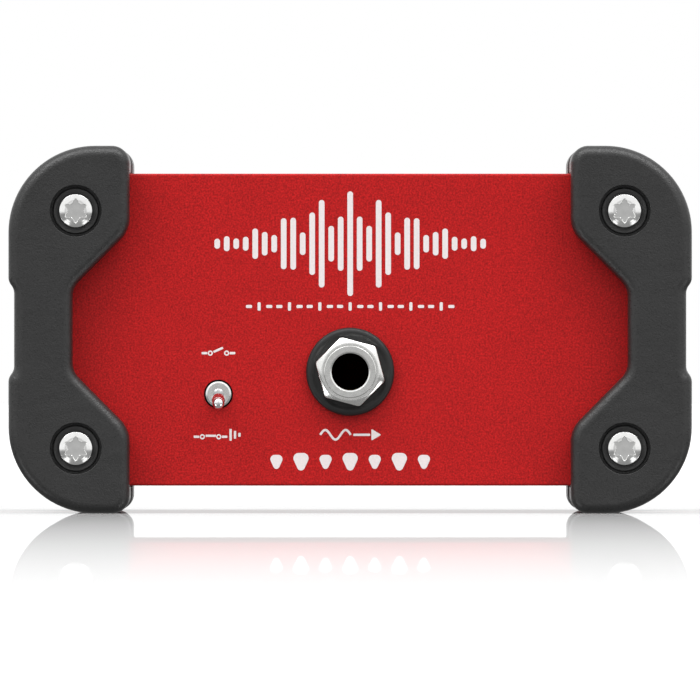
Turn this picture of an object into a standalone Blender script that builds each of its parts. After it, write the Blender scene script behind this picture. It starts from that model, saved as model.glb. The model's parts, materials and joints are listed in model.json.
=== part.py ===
"""Guitar line box: the jack end of a wired guitar transmission system.

A red extruded box stands on four moulded corner bumpers. Its front panel carries a quarter inch
output jack and a ground lift toggle switch, and its rear panel an XLR input and a power socket.

Frame: the origin is on the surface that the box stands on, under the middle of the box. The front
panel looks towards -Y, and +Z is up. Sizes are in millimetres, and heights are measured from the
middle of the box, MID_Z above the surface. The meshes are made in metres.
"""

from math import asin, ceil, cos, degrees, pi, radians, sin, tan

import bmesh
import bpy
from mathutils import Vector

MM = 0.001
GAP = 0.3                      # clearance between pieces that touch on the real object

# Overall size
HEIGHT = 65.0
DEPTH = 130.0
MID_Z = HEIGHT / 2

# Box: an extruded sleeve between two flat panels
BODY_WIDTH = 110.2
BODY_HEIGHT = 55.2
BODY_CORNER = 2.5
WALL = 2.0
PANEL_THICK = 2.0
PANEL_FACE = 58.0              # outer face of each panel, from the middle
PANEL_EDGE = 0.4
SLEEVE_END = PANEL_FACE - PANEL_THICK - GAP
BOSS_RADIUS = 3.7
RIB_DEPTH = 2.6
RIB_THICK = 1.4

# Corner screws
SCREW_X = 48.5
SCREW_Z = 21.0
SCREW_HOLE = 3.6
SHANK_RADIUS = 1.5
SHANK_END = 44.0
HEAD_RADIUS = 2.95
HEAD_TOP = 64.6
HEAD_BOTTOM = 62.7
HEAD_CHAMFER = (0.25, 0.3)     # inwards and back
RECESS_DEPTH = 1.2
STAR_MEAN = 1.85
STAR_WAVE = 0.3

# Bumpers: outline of the right one's upper half, as corners (x, height, radius)
BUMPER_CORNERS = [
    (59.4, 7.2, 2.3),
    (60.4, 8.5, 2.3),
    (60.4, 32.5, 15.3),
    (39.0, 32.5, 3.1),
    (39.0, 17.85, 5.6),
    (49.3, 7.55, 3.9),
]
BUMPER_FACE = DEPTH / 2
BUMPER_BACK = 23.0
BUMPER_FILLET = 1.8
BUMPER_BACK_FILLET = 0.8
FILLET_STEPS = 2
COUNTERBORE_RADIUS = 4.575     # faceted, so a little over the 9.0 mm that it measures across
COUNTERBORE_FLOOR = 60.3
BUSH_HOLE_RADIUS = 3.55

# Bushes that keep the screws from crushing the bumpers
BUSH_COLLAR_RADIUS = 3.9
BUSH_BARREL_RADIUS = 3.25
BUSH_TOP = 62.4

# Output jack
JACK_X = 0.0
JACK_Z = -7.45
JACK_HOLE_RADIUS = 4.8
JACK_BORE_RADIUS = 3.25
JACK_THREAD_RADIUS = 4.5
JACK_MOUTH = 62.2
JACK_MOUTH_CHAMFER = 0.25
WASHER_RADIUS = 7.8
WASHER_RIM_INNER = 6.65
WASHER_RIM_SLOPE = 0.35
WASHER_FLOOR = 59.2
WASHER_RIM_TOP = 59.7
NUT_FLATS = 11.0
NUT_FACE_RADIUS = 5.15
NUT_BACK = WASHER_FLOOR + GAP
NUT_THICK = 2.2
NUT_FACE = NUT_BACK + NUT_THICK
NUT_CORNER_ANGLE = 45.0
NUT_CHAMFER_ANGLE = 30.0
NUT_SIDES = 36                 # points round it, six to a flat
JACK_HOUSING_HALF = 8.0
JACK_HOUSING_TOP = 7.65
JACK_HOUSING_BACK = 30.0
JACK_RECESS_FLOOR = 52.7
JACK_INNER_RADIUS = 3.5
SPRING_WIDTH = 3.0
SPRING_THICK = 0.4
SPRING_SLOT = 4.0
TIP_SPRING = [(-46.0, 6.0), (-39.5, 3.6), (-36.5, 2.3), (-34.5, 3.4), (-32.0, 4.0)]    # (y, above the jack)
SLEEVE_SPRING = [(-40.0, -5.6), (-46.0, -4.2), (-48.5, -3.0), (-50.5, -4.0)]
TIP_SLOT_FRONT = -46.8
SLEEVE_SLOT = (-51.2, -39.2)

# Ground lift toggle
SWITCH_X = -23.3
SWITCH_Z = -11.4
SWITCH_HOLE_RADIUS = 2.55
SWITCH_BUSHING_RADIUS = 2.25
SWITCH_BORE_RADIUS = 1.9
SWITCH_BUSHING_FACE = 58.7
SWITCH_BUSHING_CHAMFER = (0.15, 0.2)
SWITCH_FLANGE_RADIUS = 3.2
SWITCH_FLANGE_BACK = 54.9
SWITCH_PIVOT_Y = -57.0
LEVER_LENGTH = 6.4             # pivot to the middle of the rounded tip
LEVER_DROP = 1.6               # the tip's middle hangs this far below the pivot at rest
LEVER_REST_ANGLE = degrees(asin(LEVER_DROP / LEVER_LENGTH))
LEVER_BALL = 1.55
LEVER_TIP = 1.25
LEVER_STUB = [(0.2, 5.1), (0.55, 4.7), (0.55, 1.45)]        # (radius, y) from the pivot
LEVER_SHAFT = [(0.48, -1.5), (0.55, -2.6), (0.95, -4.6)]
SWITCH_HALF_WIDTH = 2.75
SWITCH_HALF_HEIGHT = 3.7
SWITCH_HOUSING_FRONT = -54.6
SWITCH_HOUSING_BACK = -47.0
SWITCH_CAVITY_BACK = -48.9
SWITCH_WALL = 0.8
ROCKER_PIVOT_Y = -51.2
ROCKER_HALF_HEIGHT = 2.3
ROCKER_HALF_WIDTH = 1.5
ROCKER_THICK = 0.5
ROCKER_REST_ANGLE = 10.0
TERMINAL_PITCH = 2.4
TERMINAL_FRONT = -50.2
TERMINAL_BENDS = (-45.8, -44.0, -42.2)
TERMINAL_THICK = 0.5
TERMINAL_HALF_WIDTH = 0.6

# XLR input on the rear panel
XLR_X = 20.0
XLR_FLANGE_WIDTH = 26.0
XLR_FLANGE_HEIGHT = 31.0
XLR_FLANGE_CORNER = 3.0
XLR_FACE = 60.5
XLR_BARREL_RADIUS = 11.6
XLR_BARREL_BACK = 36.0
XLR_BORE_RADIUS = 9.5
XLR_INSERT_RADIUS = 7.7
XLR_INSERT_FOOT_RADIUS = 9.2
XLR_INSERT_FOOT_TOP = 42.0
XLR_INSERT_FACE = 59.6
XLR_CONTACT_CIRCLE = 3.9
XLR_CONTACT_ANGLES = (160.0, 20.0, 270.0)
XLR_CONTACT_RADIUS = 1.2
XLR_CONTACT_BORE = 0.8
XLR_CONTACT_FLOOR = 50.0
XLR_SCREW_X = 9.5
XLR_SCREW_Z = 12.0
XLR_SCREW_HOLE = 1.7
XLR_SCREW_HEAD = [(1.9, 1.6), (2.5, 1.1), (2.6, 0.0)]       # (radius, height) above the flange
XLR_SCREW_SHANK = 1.4
XLR_SCREW_END = 53.0
LATCH_SLOT_LOW = 8.0
LATCH_CHAMFER = 0.8
LATCH_HALF_WIDTH = 4.0
LATCH_ARM_LOW = 9.8
LATCH_ARM_HIGH = 11.0
LATCH_TAB_HIGH = 13.2
LATCH_BACK = 46.0
LATCH_TAB_BACK = 60.2
LATCH_FACE = 62.2

# Power socket on the rear panel
POWER_X = -25.0
POWER_HALF_WIDTH = 4.5
POWER_HOUSING_HEIGHT = 11.0
POWER_AXIS_ABOVE_BOARD = 6.3
POWER_BORE_RADIUS = 3.15
POWER_BORE_FLOOR = 46.0
POWER_HOUSING_BACK = 42.0
POWER_PIN_RADIUS = 1.0
POWER_PIN = (40.0, 55.0)
POWER_HOLE_RADIUS = 4.0

# Circuit board, held in the sleeve's slots, and what stands on it
BOARD_TOP = -15.4
BOARD_THICK = 1.6
BOARD_HALF_WIDTH = 52.6
BOARD_HALF_DEPTH = 54.0
ON_BOARD = BOARD_TOP + GAP
CAN_X = -20.0
CAN_HALF = 13.0
CAN_CORNER = 2.0
CAN_HEIGHT = 22.0
CAPACITOR_PLACES = ((10.0, -12.0), (22.0, -12.0))
CAPACITOR_OUTLINE = [(3.7, 0.0), (4.0, 0.4), (4.0, 11.6), (3.6, 12.0)]     # (radius, height)
CHIP_PLACES = ((12.0, 10.0), (28.0, 10.0))
CHIP_HALF_LONG = 4.8
CHIP_HALF_WIDE = 3.2
CHIP_HEIGHT = 3.3
CHIP_DRAFT = 0.35


def point(x, y, z):
    """A place in the box's own millimetres as a Blender point in metres."""
    return Vector((x, y, z + MID_Z)) * MM


def make_material(name, colour, roughness, metallic):
    material = bpy.data.materials.new(name)
    material.use_nodes = True
    shader = material.node_tree.nodes["Principled BSDF"]
    shader.inputs["Base Color"].default_value = (*colour, 1.0)
    shader.inputs["Roughness"].default_value = roughness
    shader.inputs["Metallic"].default_value = metallic
    return material


def add_object(name, bm, material):
    """Turn a finished bmesh into a named object, smooth where its faces meet gently."""
    bmesh.ops.recalc_face_normals(bm, faces=bm.faces)
    mesh = bpy.data.meshes.new(name)
    bm.to_mesh(mesh)
    bm.free()
    mesh.shade_smooth()
    mesh.set_sharp_from_angle(angle=radians(35))
    mesh.materials.append(material)
    thing = bpy.data.objects.new(name, mesh)
    bpy.context.scene.collection.objects.link(thing)
    return thing


def set_origin(thing, origin):
    """Move an object's origin to a place in millimetres, and leave its shape where it is."""
    centre = point(*origin)
    for vertex in thing.data.vertices:
        vertex.co -= centre
    thing.location = centre
    return thing


def loft(name, rings, material, closed=False):
    """A solid through rings of points. It is capped at both ends, or closed into a loop."""
    bm = bmesh.new()
    loops = [[bm.verts.new(point(*place)) for place in ring] for ring in rings]
    pairs = list(zip(loops, loops[1:]))
    if closed:
        pairs.append((loops[-1], loops[0]))
    for near, far in pairs:
        for i in range(len(near)):
            j = (i + 1) % len(near)
            bm.faces.new((near[i], near[j], far[j], far[i]))
    if not closed:
        bm.faces.new(loops[0])
        bm.faces.new(list(reversed(loops[-1])))
    return add_object(name, bm, material)


def prism(name, outline, y_start, y_end, material):
    """An outline in the front view, extruded along the depth."""
    rings = [[(x, y, z) for x, z in outline] for y in (y_start, y_end)]
    return loft(name, rings, material)


def side_prism(name, outline, x_start, x_end, material):
    """An outline in the side view, as (y, z) points, extruded across the width."""
    rings = [[(x, y, z) for y, z in outline] for x in (x_start, x_end)]
    return loft(name, rings, material)


def block(name, x_range, y_range, z_range, material):
    outline = [(x_range[0], z_range[0]), (x_range[1], z_range[0]),
               (x_range[1], z_range[1]), (x_range[0], z_range[1])]
    return prism(name, outline, *y_range, material)


def turned(name, centre, stations, sides, material, closed=False):
    """A piece turned about an axis along the depth, from (radius, y) stations."""
    rings = []
    for radius, y in stations:
        angles = [2 * pi * i / sides for i in range(sides)]
        rings.append([(centre[0] + radius * cos(a), y, centre[1] + radius * sin(a)) for a in angles])
    return loft(name, rings, material, closed)


def rounded(corners, finest=22.5):
    """An outline whose corners, given as (x, z, radius), are rounded by arcs."""
    outline = []
    for i, (x, z, radius) in enumerate(corners):
        corner = Vector((x, z))
        to_before = (Vector(corners[i - 1][:2]) - corner).normalized()
        to_after = (Vector(corners[(i + 1) % len(corners)][:2]) - corner).normalized()
        turn = pi - to_before.angle(to_after)
        if radius == 0 or turn < radians(1):
            outline.append((x, z))
            continue
        start = corner + to_before * radius * tan(turn / 2)
        centre = corner + (to_before + to_after).normalized() * radius / cos(turn / 2)
        step_angle = radians(finest if radius < 10 else finest / 2)
        steps = max(2, ceil(turn / step_angle - 0.01))
        spin = 1 if to_before.x * to_after.y - to_before.y * to_after.x < 0 else -1
        arm = start - centre
        for step in range(steps + 1):
            angle = spin * turn * step / steps
            outline.append((centre.x + arm.x * cos(angle) - arm.y * sin(angle),
                            centre.y + arm.x * sin(angle) + arm.y * cos(angle)))
    return outline


def rectangle(width, height, radius):
    """A rounded rectangle about the middle, anticlockwise in the front view."""
    x, z = width / 2, height / 2
    return rounded([(x, -z, radius), (x, z, radius), (-x, z, radius), (-x, -z, radius)], 30)


def inset(outline, distance):
    """An anticlockwise outline moved inwards by a distance."""
    moved = []
    for i, here in enumerate(outline):
        here = Vector(here)
        before = (here - Vector(outline[i - 1])).normalized()
        after = (Vector(outline[(i + 1) % len(outline)]) - here).normalized()
        normals = Vector((-before.y, before.x)), Vector((-after.y, after.x))
        shift = (normals[0] + normals[1]) / (1 + normals[0].dot(normals[1]))
        moved.append(tuple(here + shift * distance))
    return moved


def rounded_prism(name, outline, ends, fillets, steps, material):
    """An outline extruded between two depths, with a rounded edge of its own radius at each end."""
    rings = []
    for end, other, radius in zip(ends, reversed(ends), fillets):
        inward = 1 if other > end else -1
        edge = []
        for step in range(steps + 1):
            angle = pi / 2 * step / steps
            y = end + inward * radius * (1 - sin(angle))
            edge.append([(x, y, z) for x, z in inset(outline, radius * (1 - cos(angle)))])
        rings += edge[::-1] if end == ends[0] else edge
    return loft(name, rings, material)


def cut(thing, cutter, operation="DIFFERENCE"):
    """Cut a shape out of an object, or join it on, and keep the cutter out of the build."""
    modifier = thing.modifiers.new(cutter.name, "BOOLEAN")
    modifier.operation = operation
    modifier.object = cutter
    cutter.hide_render = True
    cutter.display_type = "WIRE"


def strip(name, path, thickness, x_range, material):
    """A bent metal strip: a path of (y, z) points, thickened and extruded across the width."""
    upper, lower = [], []
    for i, here in enumerate(path):
        here = Vector(here)
        before = (here - Vector(path[max(i - 1, 0)])).normalized() if i else None
        after = (Vector(path[i + 1]) - here).normalized() if i + 1 < len(path) else before
        before = before or after
        normal = Vector((-before.y - after.y, before.x + after.x))
        normal *= thickness / 2 / (1 + before.dot(after))
        upper.append(tuple(here + normal))
        lower.append(tuple(here - normal))
    return side_prism(name, upper + lower[::-1], *x_range, material)


def make_sleeve(material, screw_cutters):
    """Extruded sleeve with a screw boss in each corner and a slot for the board on each side."""
    sleeve = prism("body_sleeve", rectangle(BODY_WIDTH, BODY_HEIGHT, BODY_CORNER),
                   -SLEEVE_END, SLEEVE_END, material)
    side = BODY_WIDTH / 2 - WALL
    top = BODY_HEIGHT / 2 - WALL
    slot_far = -BOARD_TOP - GAP
    quarter = [
        (side, slot_far - RIB_THICK, 0),
        (side - RIB_DEPTH, slot_far - RIB_THICK, 0),
        (side - RIB_DEPTH, slot_far, 0),
        (side, slot_far, 0),
        (side, SCREW_Z - BOSS_RADIUS, 0),
        (SCREW_X - BOSS_RADIUS, SCREW_Z - BOSS_RADIUS, BOSS_RADIUS),
        (SCREW_X - BOSS_RADIUS, top, 0),
    ]
    half = quarter + [(-x, z, r) for x, z, r in reversed(quarter)]
    hollow = half + [(x, -z, r) for x, z, r in reversed(half)]
    cut(sleeve, prism("hollow_cutter", rounded(hollow), -PANEL_FACE, PANEL_FACE, material))
    for cutter in screw_cutters:
        cut(sleeve, cutter)


def make_panel(name, end, material, cutters):
    """Flat end panel with a lightly rounded outer edge; end is -1 for the front, 1 for the rear."""
    outline = rectangle(BODY_WIDTH, BODY_HEIGHT, BODY_CORNER)
    ends = (end * PANEL_FACE, end * (PANEL_FACE - PANEL_THICK))
    panel = rounded_prism(name, outline, ends, (PANEL_EDGE, PANEL_EDGE / 4), 2, material)
    for cutter in cutters:
        cut(panel, cutter)


def make_bumper(name, side, end, material, cutters):
    """Moulded bumper over one end of one side; side is 1 for +X, end is -1 for the front."""
    lower = [(x, -z, radius) for x, z, radius in reversed(BUMPER_CORNERS)]
    outline = rounded(BUMPER_CORNERS + lower)
    ends = (end * BUMPER_FACE, end * BUMPER_BACK)
    bumper = rounded_prism(name, outline, ends, (BUMPER_FILLET, BUMPER_BACK_FILLET), FILLET_STEPS, material)
    if side < 0:
        for vertex in bumper.data.vertices:
            vertex.co.x = -vertex.co.x
        bumper.data.flip_normals()
    for cutter in cutters:
        cut(bumper, cutter)


def star(radius_mean, wave, y, sides):
    """A ring of a six-lobed star with one lobe straight up."""
    ring = []
    for i in range(sides):
        angle = 2 * pi * i / sides
        radius = radius_mean - wave * cos(6 * angle)
        ring.append((radius * cos(angle), y, radius * sin(angle)))
    return ring


def star_screw_mesh(material):
    """Pan head screw with a six-lobed recess, lying on the depth axis with its head at the front."""
    sides = 24
    inwards, back = HEAD_CHAMFER
    stations = [(HEAD_RADIUS - inwards, HEAD_TOP), (HEAD_RADIUS, HEAD_TOP - back), (HEAD_RADIUS, HEAD_BOTTOM),
                (SHANK_RADIUS, HEAD_BOTTOM), (SHANK_RADIUS, SHANK_END)]
    rings = [star(STAR_MEAN, STAR_WAVE, -HEAD_TOP + RECESS_DEPTH, sides)]
    rings.append(star(STAR_MEAN, STAR_WAVE, -HEAD_TOP, sides))
    for radius, y in stations:
        rings.append(star(radius, 0.0, -y, sides))
    return loft("bumper_screw", rings, material)


def bush_mesh(material):
    """Stepped bush: a collar on the counterbore's floor and a barrel through to the panel."""
    bore = SCREW_HOLE / 2
    foot = PANEL_FACE + GAP
    step = COUNTERBORE_FLOOR + GAP
    stations = [(bore, -BUSH_TOP), (BUSH_COLLAR_RADIUS, -BUSH_TOP), (BUSH_COLLAR_RADIUS, -step),
                (BUSH_BARREL_RADIUS, -step), (BUSH_BARREL_RADIUS, -foot), (bore, -foot)]
    return turned("bumper_bush", (0, 0), stations, 16, material, closed=True)


def make_corner_sets(prototype):
    """Put a copy of a screw or a bush on each screw axis, at the front and at the rear."""
    base = prototype.name
    for end, end_name, turn in ((-1, "front", 0.0), (1, "rear", pi)):
        for side, side_name in ((-1, "left"), (1, "right")):
            for level, level_name in ((1, "upper"), (-1, "lower")):
                copy = prototype.copy()
                copy.name = f"{base}_{end_name}_{level_name}_{side_name}"
                copy.rotation_euler = (0.0, 0.0, turn)
                copy.location = Vector((side * SCREW_X, 0.0, level * SCREW_Z)) * MM
                bpy.context.scene.collection.objects.link(copy)
    bpy.data.objects.remove(prototype)


def make_jack(metal, dark, plastic, spring_metal):
    """Quarter inch socket: bezel washer, chamfered nut, threaded bushing, housing and springs."""
    centre = (JACK_X, JACK_Z)
    back = PANEL_FACE + GAP
    washer = [(JACK_HOLE_RADIUS, -back), (WASHER_RADIUS, -back), (WASHER_RADIUS, -WASHER_FLOOR),
              (WASHER_RADIUS - WASHER_RIM_SLOPE, -WASHER_RIM_TOP),
              (WASHER_RIM_INNER + WASHER_RIM_SLOPE, -WASHER_RIM_TOP),
              (WASHER_RIM_INNER, -WASHER_FLOOR), (JACK_HOLE_RADIUS, -WASHER_FLOOR)]
    turned("jack_washer", centre, washer, 32, dark, closed=True)
    make_nut(metal)
    recess = JACK_RECESS_FLOOR + GAP
    edge = JACK_MOUTH - JACK_MOUTH_CHAMFER
    bushing = [(JACK_BORE_RADIUS, -edge), (JACK_BORE_RADIUS + JACK_MOUTH_CHAMFER, -JACK_MOUTH),
               (JACK_THREAD_RADIUS - JACK_MOUTH_CHAMFER, -JACK_MOUTH), (JACK_THREAD_RADIUS, -edge),
               (JACK_THREAD_RADIUS, -recess), (JACK_BORE_RADIUS, -recess)]
    turned("jack_bushing", centre, bushing, 28, metal, closed=True)
    make_jack_housing(plastic)
    x_range = (JACK_X - SPRING_WIDTH / 2, JACK_X + SPRING_WIDTH / 2)
    for name, shape in (("jack_tip_spring", TIP_SPRING), ("jack_sleeve_spring", SLEEVE_SPRING)):
        path = [(y, z + JACK_Z) for y, z in shape]
        spring = strip(name, path, SPRING_THICK, x_range, spring_metal)
        set_origin(spring, (JACK_X, *path[0]))


def make_nut(material):
    """Hexagon nut with a conical chamfer, which meets each flat in a curve."""
    face, chamfer_line, back = [], [], []
    bore_front, bore_back = [], []
    for i in range(NUT_SIDES):
        angle = 360.0 * i / NUT_SIDES + NUT_CORNER_ANGLE
        from_flat = radians((angle - NUT_CORNER_ANGLE) % 60 - 30)
        radius = NUT_FLATS / 2 / cos(from_flat)
        chamfer = (radius - NUT_FACE_RADIUS) * tan(radians(NUT_CHAMFER_ANGLE))
        c, s = cos(radians(angle)), sin(radians(angle))
        rows = ((bore_front, JACK_HOLE_RADIUS, -NUT_FACE), (face, NUT_FACE_RADIUS, -NUT_FACE),
                (chamfer_line, radius, -NUT_FACE + chamfer), (back, radius, -NUT_BACK),
                (bore_back, JACK_HOLE_RADIUS, -NUT_BACK))
        for ring, r, y in rows:
            ring.append((JACK_X + r * c, y, JACK_Z + r * s))
    loft("jack_nut", [bore_front, face, chamfer_line, back, bore_back], material, closed=True)


def make_jack_housing(material):
    """Plastic body with a through bore and an open slot for each contact spring."""
    front = -SLEEVE_END
    top, bottom = JACK_Z + JACK_HOUSING_TOP, JACK_Z - JACK_HOUSING_TOP
    housing = block("jack_housing", (JACK_X - JACK_HOUSING_HALF, JACK_X + JACK_HOUSING_HALF),
                    (front, -JACK_HOUSING_BACK), (bottom, top), material)
    bore = [(JACK_HOLE_RADIUS, front - 1), (JACK_HOLE_RADIUS, -JACK_RECESS_FLOOR),
            (JACK_INNER_RADIUS, -JACK_RECESS_FLOOR), (JACK_INNER_RADIUS, -JACK_HOUSING_BACK + 1)]
    cut(housing, turned("jack_bore_cutter", (JACK_X, JACK_Z), bore, 24, material))
    x_range = (JACK_X - SPRING_SLOT / 2, JACK_X + SPRING_SLOT / 2)
    cut(housing, block("tip_slot_cutter", x_range, (TIP_SLOT_FRONT, -JACK_HOUSING_BACK + 1),
                       (JACK_Z, top + 1), material))
    cut(housing, block("sleeve_slot_cutter", x_range, SLEEVE_SLOT, (bottom - 1, JACK_Z), material))


def make_switch(metal, dark, chrome, brass):
    """Toggle switch: bushing, housing, bat lever on its ball, rocking contact and terminals."""
    centre = (SWITCH_X, SWITCH_Z)
    inwards, back = SWITCH_BUSHING_CHAMFER
    bushing = [(SWITCH_BORE_RADIUS, -SWITCH_BUSHING_FACE),
               (SWITCH_BUSHING_RADIUS - inwards, -SWITCH_BUSHING_FACE),
               (SWITCH_BUSHING_RADIUS, -SWITCH_BUSHING_FACE + back), (SWITCH_BUSHING_RADIUS, -SLEEVE_END),
               (SWITCH_FLANGE_RADIUS, -SLEEVE_END), (SWITCH_FLANGE_RADIUS, -SWITCH_FLANGE_BACK),
               (SWITCH_BORE_RADIUS, -SWITCH_FLANGE_BACK)]
    turned("switch_bushing", centre, bushing, 24, metal, closed=True)
    make_switch_housing(dark)
    make_lever(chrome)
    rocker = block("switch_rocker", (SWITCH_X - ROCKER_HALF_WIDTH, SWITCH_X + ROCKER_HALF_WIDTH),
                   (ROCKER_PIVOT_Y - ROCKER_THICK / 2, ROCKER_PIVOT_Y + ROCKER_THICK / 2),
                   (SWITCH_Z - ROCKER_HALF_HEIGHT, SWITCH_Z + ROCKER_HALF_HEIGHT), brass)
    set_origin(rocker, (SWITCH_X, ROCKER_PIVOT_Y, SWITCH_Z))
    rocker.rotation_euler = (-radians(ROCKER_REST_ANGLE), 0.0, 0.0)
    for i, bend_y in enumerate(TERMINAL_BENDS):
        z = SWITCH_Z + (i - 1) * TERMINAL_PITCH
        path = [(TERMINAL_FRONT, z), (bend_y, z), (bend_y, ON_BOARD)]
        x_range = (SWITCH_X - TERMINAL_HALF_WIDTH, SWITCH_X + TERMINAL_HALF_WIDTH)
        strip(f"switch_terminal_{i + 1}", path, TERMINAL_THICK, x_range, brass)


def make_switch_housing(material):
    """Open-fronted box with three slots for the terminals in its back wall."""
    wide, high = SWITCH_HALF_WIDTH, SWITCH_HALF_HEIGHT
    housing = block("switch_housing", (SWITCH_X - wide, SWITCH_X + wide),
                    (SWITCH_HOUSING_FRONT, SWITCH_HOUSING_BACK), (SWITCH_Z - high, SWITCH_Z + high), material)
    wide, high = wide - SWITCH_WALL, high - SWITCH_WALL
    cut(housing, block("switch_cavity_cutter", (SWITCH_X - wide, SWITCH_X + wide),
                       (SWITCH_HOUSING_FRONT - 1, SWITCH_CAVITY_BACK),
                       (SWITCH_Z - high, SWITCH_Z + high), material))
    wide, high = TERMINAL_HALF_WIDTH + GAP, TERMINAL_THICK / 2 + GAP
    for i in range(3):
        z = SWITCH_Z + (i - 1) * TERMINAL_PITCH
        cut(housing, block(f"terminal_slot_cutter_{i + 1}", (SWITCH_X - wide, SWITCH_X + wide),
                           (SWITCH_CAVITY_BACK - 1, SWITCH_HOUSING_BACK + 1), (z - high, z + high), material))


def make_lever(material):
    """Bat lever: an inner stub, the ball it pivots on, and a shaft that widens to a round tip."""
    stations = list(LEVER_STUB)
    for angle in (50, 20, -20, -50):
        stations.append((LEVER_BALL * cos(radians(angle)), LEVER_BALL * sin(radians(angle))))
    stations += LEVER_SHAFT
    for angle in (12, -20, -48, -78):
        stations.append((LEVER_TIP * cos(radians(angle)), LEVER_TIP * sin(radians(angle)) - LEVER_LENGTH))
    lever = turned("switch_lever", (0, 0), stations, 16, material)
    for vertex in lever.data.vertices:
        vertex.co.z -= MID_Z * MM
    lever.location = point(SWITCH_X, SWITCH_PIVOT_Y, SWITCH_Z)
    lever.rotation_euler = (radians(LEVER_REST_ANGLE), 0.0, 0.0)


def make_xlr(metal, dark, brass, panel_screw):
    """Female XLR input: flanged shell, insert, three contacts, sprung latch and two screws."""
    make_xlr_shell(metal)
    centre = (XLR_X, 0.0)
    foot = XLR_BARREL_BACK + GAP
    stations = [(XLR_INSERT_FOOT_RADIUS, foot), (XLR_INSERT_FOOT_RADIUS, XLR_INSERT_FOOT_TOP),
                (XLR_INSERT_RADIUS, XLR_INSERT_FOOT_TOP), (XLR_INSERT_RADIUS, XLR_INSERT_FACE)]
    insert = turned("xlr_insert", centre, stations, 32, dark)
    for i, angle in enumerate(XLR_CONTACT_ANGLES):
        place = (XLR_X + XLR_CONTACT_CIRCLE * cos(radians(angle)), XLR_CONTACT_CIRCLE * sin(radians(angle)))
        hole = [(XLR_CONTACT_RADIUS + GAP, foot - 1), (XLR_CONTACT_RADIUS + GAP, XLR_FACE)]
        cut(insert, turned(f"contact_hole_cutter_{i + 1}", place, hole, 12, dark))
        mouth = XLR_INSERT_FACE - 2 * GAP
        contact = [(XLR_CONTACT_BORE, XLR_CONTACT_FLOOR), (XLR_CONTACT_BORE, mouth),
                   (XLR_CONTACT_RADIUS, mouth), (XLR_CONTACT_RADIUS, foot - 4)]
        turned(f"xlr_contact_{i + 1}", place, contact, 12, brass)
    make_latch(dark)
    head = XLR_FACE + GAP
    stations = [(radius, head + height) for radius, height in XLR_SCREW_HEAD]
    stations += [(XLR_SCREW_SHANK, head), (XLR_SCREW_SHANK, XLR_SCREW_END)]
    for name, sign in (("xlr_screw_upper", 1), ("xlr_screw_lower", -1)):
        turned(name, (XLR_X - sign * XLR_SCREW_X, sign * XLR_SCREW_Z), stations, 20, panel_screw)


def make_latch(material):
    """Push latch: a thumb tab on the flange and an arm that runs back through the shell's slot."""
    outline = [(LATCH_BACK, LATCH_ARM_LOW), (LATCH_FACE, LATCH_ARM_LOW),
               (LATCH_FACE, LATCH_TAB_HIGH - LATCH_CHAMFER), (LATCH_FACE - LATCH_CHAMFER, LATCH_TAB_HIGH),
               (LATCH_TAB_BACK, LATCH_TAB_HIGH), (LATCH_TAB_BACK, LATCH_ARM_HIGH),
               (LATCH_BACK, LATCH_ARM_HIGH)]
    latch = side_prism("xlr_latch", outline, XLR_X - LATCH_HALF_WIDTH, XLR_X + LATCH_HALF_WIDTH, material)
    set_origin(latch, (XLR_X, LATCH_FACE, LATCH_ARM_LOW))


def make_xlr_shell(material):
    """Rectangular flange joined to a barrel, bored through, with a slot for the latch."""
    outline = [(x + XLR_X, z) for x, z in rectangle(XLR_FLANGE_WIDTH, XLR_FLANGE_HEIGHT, XLR_FLANGE_CORNER)]
    shell = rounded_prism("xlr_shell", outline, (XLR_FACE, PANEL_FACE + GAP), (0.5, 0.1), 2, material)
    centre = (XLR_X, 0.0)
    barrel = turned("barrel_cutter", centre, [(XLR_BARREL_RADIUS, XLR_BARREL_BACK),
                                              (XLR_BARREL_RADIUS, PANEL_FACE + 1)], 40, material)
    cut(shell, barrel, "UNION")
    cut(shell, turned("xlr_bore_cutter", centre, [(XLR_BORE_RADIUS, XLR_BARREL_BACK - 1),
                                                  (XLR_BORE_RADIUS, XLR_FACE + 1)], 36, material))
    slot = LATCH_HALF_WIDTH + GAP
    cut(shell, block("latch_slot_cutter", (XLR_X - slot, XLR_X + slot), (LATCH_BACK - 2, XLR_FACE + 1),
                     (LATCH_SLOT_LOW, LATCH_TAB_HIGH + GAP), material))
    for sign in (1, -1):
        place = (XLR_X - sign * XLR_SCREW_X, sign * XLR_SCREW_Z)
        cut(shell, turned(f"xlr_screw_cutter_{sign + 2}", place,
                          [(XLR_SCREW_HOLE, PANEL_FACE), (XLR_SCREW_HOLE, XLR_FACE + 1)], 12, material))


def make_power_socket(plastic, metal):
    """Barrel power socket behind its hole in the rear panel."""
    axis_z = BOARD_TOP + POWER_AXIS_ABOVE_BOARD
    housing = block("power_jack_housing", (POWER_X - POWER_HALF_WIDTH, POWER_X + POWER_HALF_WIDTH),
                    (POWER_HOUSING_BACK, SLEEVE_END), (ON_BOARD, ON_BOARD + POWER_HOUSING_HEIGHT), plastic)
    bore = [(POWER_PIN_RADIUS + GAP, POWER_HOUSING_BACK - 1), (POWER_PIN_RADIUS + GAP, POWER_BORE_FLOOR),
            (POWER_BORE_RADIUS, POWER_BORE_FLOOR), (POWER_BORE_RADIUS, SLEEVE_END + 1)]
    cut(housing, turned("power_bore_cutter", (POWER_X, axis_z), bore, 20, plastic))
    back, tip = POWER_PIN
    chamfer = POWER_PIN_RADIUS * 0.4
    pin = [(POWER_PIN_RADIUS, back), (POWER_PIN_RADIUS, tip - chamfer), (POWER_PIN_RADIUS - chamfer, tip)]
    turned("power_jack_pin", (POWER_X, axis_z), pin, 16, metal)
    return axis_z


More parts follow.
